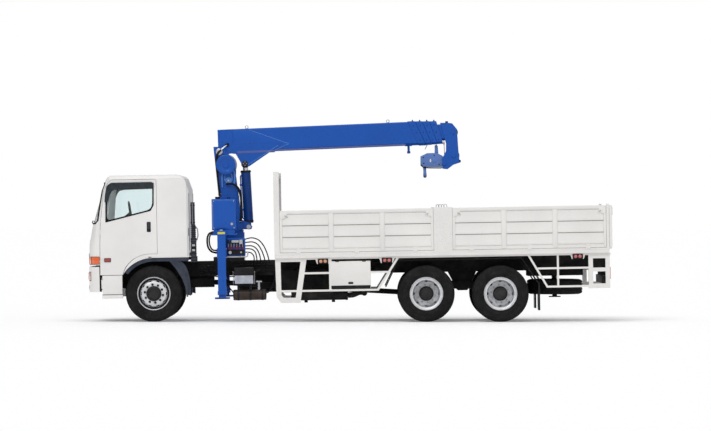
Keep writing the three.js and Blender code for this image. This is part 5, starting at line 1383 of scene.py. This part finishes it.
CHASSIS_HOSES = [
    ([(2180, -425, 1000), (2180, -476, 998), (2226, -560, 964), (2330, -650, 880), (2440, -730, 770),
      (2550, -820, 650),
      (2626, -896, 556), (2667, -930, 512)], 11),
    ([(2110, -425, 900), (2112, -480, 898), (2180, -590, 862), (2310, -710, 812), (2450, -800, 790),
      (2580, -850, 796),
      (2692, -860, 800)], 10),
    ([(2260, -425, 950), (2262, -476, 948), (2310, -550, 906), (2410, -650, 830), (2530, -760, 744),
      (2630, -806, 710),
      (2692, -812, 704)], 10),
    ([(3265, -970, 496), (3306, -968, 504), (3360, -900, 580), (3410, -760, 700), (3440, -590, 810),
      (3448, -470, 856),
      (3450, -425, 862)], 10),
    ([(3042, -900, 860), (3090, -894, 880), (3160, -810, 930), (3220, -650, 972), (3262, -500, 984),
      (3270, -425, 982)], 10),
]
COLUMN_HOSES = [
    ("column_hose_lift", [(2560, -190, 2500), (2566, -224, 2498), (2610, -250, 2500), (2700, -262, 2480),
                          (2780, -262, 2400), (2812, -250, 2280), (2816, -236, 2120), (2812, -226, 1960),
                          (2806, -214, 1860), (2800, -190, 1800)], 19),
    ("column_hose_back", [(2404, -210, 3064), (2386, -214, 3020), (2372, -218, 2960), (2370, -222, 2880),
                          (2380, -224, 2760), (2394, -224, 2620), (2408, -224, 2480), (2418, -222, 2380),
                          (2424, -212, 2310), (2426, -190, 2280)], 19),
    ("column_hose_right", [(2560, 190, 2500), (2570, 226, 2498), (2640, 250, 2490), (2740, 256, 2420),
                           (2792, 246, 2280), (2806, 236, 2120), (2806, 226, 1960), (2804, 214, 1860),
                           (2800, 190, 1800)], 17),
]


def hose(name, body, route, radius, fittings):
    """A hydraulic hose along a route in the sprung frame, with its ferrule and nut at each end."""
    path = smooth_path(route, 5)
    piece = Shape().tube(path, radius, 12).done(name, body, HOSE, "rubber")
    for end, near in ((path[0], path[2]), (path[-1], path[-3])):
        out = (near - end).normalized()
        fittings.finish = 0
        fittings.rod(end - out * 2, end + out * radius * 0.9, radius * 1.45, 6, radius * 0.12)
        fittings.finish = 1
        fittings.rod(end + out * radius * 0.8, end + out * radius * 2.6, radius * 1.22, 16, radius * 0.15)


def base_hoses():
    """Hoses from the valves to the frame rails, and the two big ones from the oil tank."""
    fittings = Shape()
    for i, (run, radius) in enumerate(BASE_HOSES):
        route = [(x, y - 960, z) for x, y, z in run]
        hose(f"base_hose_{i + 1}", "chassis", route, radius, fittings)
    for i, (route, radius) in enumerate(CHASSIS_HOSES):
        hose(f"chassis_hose_{i + 1}", "chassis", route, radius, fittings)
    fittings.done("base_hose_ends", "chassis", [STEEL, SATIN_BLACK], "steel")


def column_hoses():
    fittings = Shape()
    for name, route, radius in COLUMN_HOSES:
        hose(name, "crane_column", route, radius, fittings)
    fittings.done("column_hose_ends", "crane_column", [STEEL, SATIN_BLACK], "steel")


def outrigger_details():
    for side, sign in SIDES.items():
        beam, leg = f"outrigger_beam_{side}", f"jack_leg_{side}"
        low, high = sprung_box(leg)
        y = sign * 1110
        band = Shape()
        band.box((2386, 2554), (y - 84, y + 84), (1560, 1636), 6)
        band.box((2386, 2554), (y - 84, y + 84), (470, 540), 5)
        band.finish = 1
        face = y + sign * 84
        band.box((2402, 2538), (face, face + sign * 2.5), (1578, 1616), 1)
        band.finish = 2
        band.rod((2470, y, 1634), (2470, y, 1662), 34, 20, 5)
        band.rod((2440, y - sign * 40, 1634), (2440, y - sign * 40, 1656), 14, 12, 2)
        band.done(f"jack_collars_{side}", beam, [BLUE, YELLOW, STEEL], "blue")
        foot = Shape()
        foot.prism(rounded_rect(low.x, high.x, low.y, high.y, 30), "z", low.z, low.z + 22, 4)
        foot.rod((2470, y, low.z + 20), (2470, y, low.z + 74), 58, 28, 8)
        foot.finish = 1
        for dx, dy in ((-105, -105), (105, -105), (-105, 105), (105, 105)):
            foot.bolt((2470 + dx, y + dy, low.z + 22), (0, 0, 1), 10, 9)
        foot.done(f"jack_foot_{side}", leg, [BLUE, STEEL], "blue")


WINCH = (2548, 2850)


def column_details():
    gear = Shape()
    x, z = WINCH
    gear.lathe([(0, 0), (182, 0), (182, 14), (172, 20), (120, 20), (112, 14), (60, 14), (54, 22), (0, 22)],
               (x, -258, z), sides=56, closed=False, turn=-1)
    for dx, dz in ring_of(12, 160):
        gear.bolt((x + dx, -278, z + dz), (0, -1, 0), 8, 7)
    bow = [(2476, -200, 2440), (2472, -202, 2560), (2476, -204, 2680), (2506, -206, 2756), (2590, -206, 2788),
           (2674, -206, 2756), (2702, -204, 2680), (2706, -202, 2600), (2696, -200, 2500)]
    gear.finish = 1
    gear.tube(smooth_path(bow, 6), 15, 12)
    inner = [(2524, -198, 2560), (2530, -198, 2660), (2590, -198, 2708), (2650, -198, 2660),
             (2656, -198, 2560)]
    gear.tube(smooth_path(inner, 6), 11, 10)
    gear.lathe([(0, 0), (60, 0), (60, 14), (48, 20), (34, 20), (30, 12), (0, 12)], (2590, -188, 2560),
               sides=36,
               closed=False, turn=-1)
    gear.finish = 2
    gear.rod((2590, -198, 2560), (2590, -208, 2560), 20, 20, 3)
    gear.box((2392, 2452), (-212, -190), (2300, 2330), 4)
    gear.done("winch_gearcase", "crane_column", [BLUE, WELD_BLUE, STEEL], "blue")
    motor = Shape()
    motor.rod((x, 190, z), (x, 236, z), 118, 32, 6)
    motor.rod((x, 232, z), (x, 300, z), 76, 28, 8)
    motor.box((x - 40, x + 40), (240, 296), (z + 60, z + 120), 8)
    motor.done("winch_motor", "crane_column", CAST, "black")
    rope = Shape()
    turns, steps = 15, 20
    rope_radius, coil_radius, coil_half = 8, 158, 128
    wound = []
    for i in range(turns * steps + 1):
        t = 2 * math.pi * i / steps
        along = -coil_half + 2 * coil_half * i / (turns * steps)
        wound.append((x + coil_radius * math.cos(t), along, z + coil_radius * math.sin(t)))
    rope.tube(wound, rope_radius, 6)
    for y in (-146, 146):
        rope.lathe([(150, -5), (196, -5), (196, 5), (150, 5)], (x, y, z), sides=40)
    rope.done("winch_rope_drum", "crane_column", STEEL, "steel")
    pins = Shape()
    px, pz = 2429, 3093
    for sign in (-1, 1):
        pins.lathe([(0, 0), (62, 0), (62, 16), (54, 22), (0, 22)], (px, sign * 208, pz), sides=36,
                   closed=False, turn=sign)
        for dx, dz in ring_of(6, 46):
            pins.bolt((px + dx, sign * 230, pz + dz), (0, sign, 0), 6, 5)
        pins.lathe([(0, 0), (40, 0), (40, 10), (0, 10)], (2947, sign * 132, 1701), sides=28, closed=False,
                   turn=sign)
    pins.done("column_pins", "crane_column", STEEL, "steel")
    shell = Shape()
    for sign in (-1, 1):
        outline = [(2344, 3150), (2376, 3150), (2462, 2270), (2430, 2262)]
        shell.prism(outline, "y", sign * 188, sign * 206, 3)
        rib = [(2500, 3090), (2690, 2950), (2722, 2830), (2716, 2650), (2764, 2250), (2744, 2250),
               (2696, 2650),
               (2702, 2826), (2674, 2938), (2490, 3070)]
        shell.prism(rib, "y", sign * 188, sign * 204, 3)
    shell.box((2396, 2756), (-196, -150), (2236, 2262), 4)
    shell.box((2396, 2756), (150, 196), (2236, 2262), 4)
    shell.done("column_ribs", "crane_column", BLUE, "blue")


def lift_details():
    barrel = Shape(LIFT)
    turn = Matrix.Rotation(math.radians(90), 4, "X")
    barrel.to_row = LIFT @ turn
    barrel.lathe([(86, 1006), (98, 1006), (98, 1030), (92, 1038), (60, 1040), (52, 1030), (52, 1008)],
                 sides=48)
    barrel.lathe([(84, 92), (94, 92), (94, 120), (84, 120)], sides=48)
    for dx, dz in ring_of(10, 78):
        barrel.rod((dx, 1036, dz), (dx, 1046, dz), 7, 6, 1)
    barrel.done("lift_barrel_rings", "lift_barrel", SATIN_BLACK, "black")
    pipe = Shape(LIFT)
    for y in (-1, 1):
        pipe.tube(smooth_path([(-20, y * 40, 130), (-96, y * 60, 160), (-104, y * 60, 260),
                               (-104, y * 60, 860),
                               (-98, y * 56, 940), (-70, y * 40, 970)]), 11, 10)
    pipe.box((-124, -84), (-84, 84), (300, 340), 4)
    pipe.box((-124, -84), (-84, 84), (760, 800), 4)
    pipe.done("lift_barrel_pipes", "lift_barrel", BLUE, "blue")
    eye = Shape(LIFT)
    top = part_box("lift_rod")[1]
    length = (LIFT.inverted() @ Vector((top.x, 0, top.z))).z - 66
    for sign in (-1, 1):
        eye.lathe([(0, 0), (58, 0), (58, 18), (50, 26), (0, 26)], (0, sign * 60, length), sides=32,
                  closed=False, turn=sign)
    eye.lathe([(66, -52), (74, -46), (74, 46), (66, 52), (60, 52), (60, -52)], (0, 0, length), sides=40)
    eye.done("lift_rod_eye", "lift_rod", CAST, "black")


def boom_details():
    half = 150
    sides = Shape(BOOM)
    for sign in (-1, 1):
        y = sign * (half + 1)
        sides.prism([(60, 130), (60, 400), (520, 400), (1290, 96), (1010, -26), (560, -26), (300, -26),
                     (260, 90)],
                    "y", y, y + sign * 5, 2)
    sides.done("boom_side_plates", "boom_section_1", BLUE, "blue")
    weld = Shape(BOOM)
    for sign in (-1, 1):
        y = sign * (half + 6)
        for run, radius in (([(560, 384), (900, 250), (1286, 98)], 5),
                            ([(1290, 92), (1150, 40), (1000, -24)], 5),
                            ([(420, 112), (650, 118), (760, 120)], 3.5),
                            ([(300, -26), (262, 20), (236, 60)], 4)):
            weld.tube([(x, y, z) for x, z in run], radius, 6)
        weld.tube([(500, sign * (half + 13), -270), (820, sign * (half + 13), -84),
                   (1090, sign * (half + 13), 74)], 5, 6)
    # Strips along the boom's lower edge in the lighter blue: painted sheen of its bevelled underside.
    weld.finish = 1
    for sign in (-1, 1):
        weld.box((330, 1020), (sign * (half + 1), sign * (half + 14)), (-46, -6), 3)
        weld.box((1020, 3440), (sign * (half - 2), sign * (half + 3)), (-26, 4), 2)
    weld.done("boom_welds", "boom_section_1", [WELD_BLUE, EDGE_SHEEN_BLUE], "blue")
    lugs = Shape(BOOM)
    for sign in (-1, 1):
        lugs.lathe([(0, 0), (54, 0), (54, 22), (46, 30), (0, 30)], (465, sign * 158, -238), sides=32,
                   closed=False, turn=sign)
        lugs.finish = 1
        for dx, dz in ring_of(4, 32):
            lugs.bolt((465 + dx, sign * 188, -238 + dz), (0, sign, 0), 6, 5)
        lugs.finish = 0
    lugs.done("boom_lift_pin", "boom_section_1", [CAST, STEEL], "black")
    ring = Shape(BOOM)
    for x in (520, 3130):
        path = [(x + 26 * math.cos(t), 0, 438 + 26 * math.sin(t))
                for t in [2 * math.pi * i / 24 for i in range(24)]]
        ring.tube(path, 6, 8, closed=True)
        ring.box((x - 30, x + 30), (-24, 24), (404, 416), 3)
    ring.done("rope_guide_rings", "boom_section_1", STEEL, "steel")
    elbow = Shape(BOOM)
    elbow.tube(smooth_path([(146, -176, 118), (104, -206, 88), (50, -216, 46), (24, -216, 20)]), 13, 12)
    elbow.finish = 1
    elbow.rod((166, -140, 132), (140, -186, 112), 32, 12, 6)
    elbow.tube(smooth_path([(34, -218, 30), (4, -222, 4), (-20, -222, -24), (-30, -220, -44)]), 23, 14)
    elbow.done("boom_hose_elbow", "boom_section_1", [CHROME, SATIN_BLACK], "steel")
    base_peg = Shape(BOOM)
    base_peg.rod((3493, 0, -176), (3493, 0, -128), 31, 20, 8)
    base_peg.box((3430, 3556), (-40, 40), (-40, -26), 4)
    base_peg.done("hook_stow_peg", "boom_section_1", BLUE, "blue")
    for k in range(4):
        stud = Shape(BOOM)
        x = 3624 + 132 * k
        top = 407 + 10 - 5 * k
        size = 150 - 17 * k + 10
        stud.finish = 1
        for y in (-70, 70):
            stud.rod((x - 40, y, top - 4), (x - 40, y, top + 26), 9, 10, 2)
            stud.bolt((x - 40, y, top), (0, 0, 1), 14, 12)
        # The collar side bolts take the darkened blue: painted shade.
        stud.finish = 0
        for sign in (-1, 1):
            for z in (60, 200, 330):
                lean = x + (190 - 24 * k) * (407 - z) / 437 - 62
                stud.bolt((lean, sign * size, z), (0, sign, 0), 8, 7)
        stud.done(f"boom_collar_bolts_{k + 1}", f"boom_section_{k + 1}", [SHADED_BLUE, SATIN_BLACK], "blue")


def head_details():
    half = 82
    head = Shape(BOOM)
    for sign in (-1, 1):
        y = sign * (half + 13)
        for x, z, r in ((4315, -250, 44), (4320, 180, 38), (4140, -390, 40)):
            head.lathe([(0, 0), (r, 0), (r, 9), (r - 6, 14), (0, 14)], (x, y, z), sides=28, closed=False,
                       turn=sign)
        head.finish = 1
        for x, z in ((4240, -60), (4390, -60), (4370, 240)):
            head.bolt((x, y, z), (0, sign, 0), 8, 6)
        head.finish = 0
    # The pin bolts take the lighter blue of painted sheen.
    head.done("boom_head_pins", "boom_section_5", [BLUE, EDGE_SHEEN_BLUE], "blue")
    sheave = Shape(BOOM)
    for x, z, r in ((4315, -250, 112), (4320, 180, 96)):
        sheave.lathe([(24, -20), (r, -20), (r, -13), (r - 18, -4), (r - 18, 4), (r, 13), (r, 20), (24, 20)],
                     (x, 0, z), sides=40)
    sheave.finish = 1
    sheave.rod((4428, -96, -352), (4428, 96, -352), 20, 16, 3)
    sheave.done("boom_head_sheaves", "boom_section_5", [CAST, SATIN_BLACK], "black")
    wire = Shape(BOOM)
    wire.rod((4150, -60, 40), (4150, -60, -330), 5.5, 8)
    wire.rod((4150, -60, 4), (4150, -60, -40), 11, 12, 2)
    wire.tube([(3862, 40, 12), (3836, 40, -40), (3794, 40, -112)], [7, 6, 5], 8)
    wire.done("overwind_rods", "boom_section_5", CAST, "black")
    lamp = Shape(BOOM)
    lamp.rod((4215, 0, 360), (4215, 0, 392), 26, 20, 5)
    lamp.done("boom_tip_roller", "boom_section_5", SATIN_BLACK, "black")


def hook_block():
    block = Shape(BOOM)
    outline = [(3706, -237), (3700, -383), (3761, -430), (3870, -444), (4070, -452), (4150, -436),
               (4172, -390),
               (4150, -310), (4116, -245), (4009, -186), (3827, -184)]
    for sign in (-1, 1):
        block.prism(outline, "y", sign * 34, sign * 58, 7, 3)
    block.prism([(3722, -250), (3716, -380), (3768, -424), (4080, -440), (4100, -260), (4004, -200),
                 (3830, -198)],
                "y", -34, 34, 3)
    block.finish = 1
    under = [(3700, -384), (3761, -434), (3870, -448), (4070, -458), (4150, -440), (4150, -462), (4070, -478),
             (3870, -468), (3756, -456), (3700, -410)]
    block.prism(under, "y", -52, 52, 4)
    for sign in (-1, 1):
        for x, z in ((3760, -260), (3760, -370), (3960, -230), (4040, -400)):
            block.bolt((x, sign * 58, z), (0, sign, 0), 9, 8)
        block.finish = 0
        block.lathe([(0, 0), (46, 0), (46, 6), (38, 9), (0, 9)], (3960, sign * 57, -322), sides=32,
                    closed=False, turn=sign)
        block.finish = 2
        block.prism(rounded_rect(3874, 3900, -352, -296, 12), "y", sign * 56, sign * 61, 1)
        block.finish = 1
    block.finish = 0
    block.prism([(3970, -200), (4040, -200), (4034, -60), (4010, -30), (3976, -50)], "y", -22, 22, 4)
    block.done("hook_block_body", "hook_block", [HOOK_BLUE, SATIN_BLACK, WHITE], "blue",
               replaces="hook_block")
    hook = Shape(BOOM)
    spine = smooth_path([(3774, 0, -440), (3774, 0, -486), (3774, -26, -520), (3774, -44, -556),
                         (3774, -30, -594),
                         (3774, 8, -606), (3774, 42, -584), (3774, 52, -546), (3774, 46, -522)], 5)
    count = len(spine)
    radii = [lerp_table([(0, 30), (0.2, 27), (0.55, 34), (0.8, 24), (1, 8)],
                        i / (count - 1)) for i in range(count)]
    hook.tube(spine, radii, 14)
    hook.rod((3774, 0, -428), (3774, 0, -462), 36, 6, 5)
    hook.done("crane_hook", "hook_block", HOOK_BLUE, "blue")
    latch = Shape(BOOM)
    latch.tube([(3774, -10, -498), (3774, 18, -524), (3774, 40, -534)], [7, 6, 5], 8)
    latch.done("hook_latch", "hook_block", STEEL, "steel")


# ---------------------------------------------------------------- stage
# Soft studio lights: name, the way the light goes, strength, and the width of the source in degrees.
SUNS = (("key", (0.45, 1.0, -1.1), 0.95, 30), ("fill", (-0.6, 1.0, -0.45), 0.25, 60),
        ("top", (0.1, 0.2, -1), 0.45, 60),
        ("back", (-0.2, -1, -0.8), 0.3, 50))
BACKDROP_LIGHT = 0.5
FLOOR_LIFT = 0.14


def stage():
    mesh = bpy.data.meshes.new("floor")
    reach = 400
    mesh.from_pydata([(-reach, -reach, 0), (reach, -reach, 0), (reach, reach, 0), (-reach, reach, 0)], [],
                     [(0, 1, 2, 3)])
    floor = bpy.data.objects.new("floor", mesh)
    bpy.context.scene.collection.objects.link(floor)
    m = Nodes("floor_white")
    path = m.add("ShaderNodeLightPath")
    seen = m.math("MULTIPLY", path.outputs["Is Camera Ray"], FLOOR_LIFT)
    m.set(Base_Color=srgb(246, 246, 247), Roughness=0.9, Emission_Color=(1, 1, 1, 1))
    m.set(Emission_Strength=seen)
    mesh.materials.append(m.material)
    world = bpy.data.worlds.new("studio")
    bpy.context.scene.world = world
    world.use_nodes = True
    tree = world.node_tree
    backdrop = tree.nodes["Background"]
    backdrop.inputs["Color"].default_value = (1, 1, 1, 1)
    light_path = tree.nodes.new("ShaderNodeLightPath")
    shown = tree.nodes.new("ShaderNodeMath")
    shown.operation = "MAXIMUM"
    tree.links.new(light_path.outputs["Is Camera Ray"], shown.inputs[0])
    tree.links.new(light_path.outputs["Is Transmission Ray"], shown.inputs[1])
    strength = tree.nodes.new("ShaderNodeMapRange")
    strength.inputs["To Min"].default_value = BACKDROP_LIGHT
    strength.inputs["To Max"].default_value = 1.0
    tree.links.new(shown.outputs["Value"], strength.inputs["Value"])
    tree.links.new(strength.outputs["Result"], backdrop.inputs["Strength"])
    for name, towards, power, softness in SUNS:
        light = bpy.data.lights.new(name, "SUN")
        light.energy, light.angle = power, math.radians(softness)
        lamp = bpy.data.objects.new(name, light)
        bpy.context.scene.collection.objects.link(lamp)
        lamp.rotation_euler = Vector(towards).to_track_quat("-Z", "Y").to_euler()
    bpy.context.scene.view_settings.view_transform = "Standard"


base_hoses()
column_hoses()
dress_cad_nodes()
crane_base_details()
column_details()
lift_details()
boom_details()
head_details()
hook_block()
outrigger_details()
wheels()
cab_front_details()
lamps()
bumper_details()
door_details()
cab_side_details()
seats()
gate_details()
deck_details()
bed_lamps()
rear_details()
toolbox_details()
chassis_details()
stage()
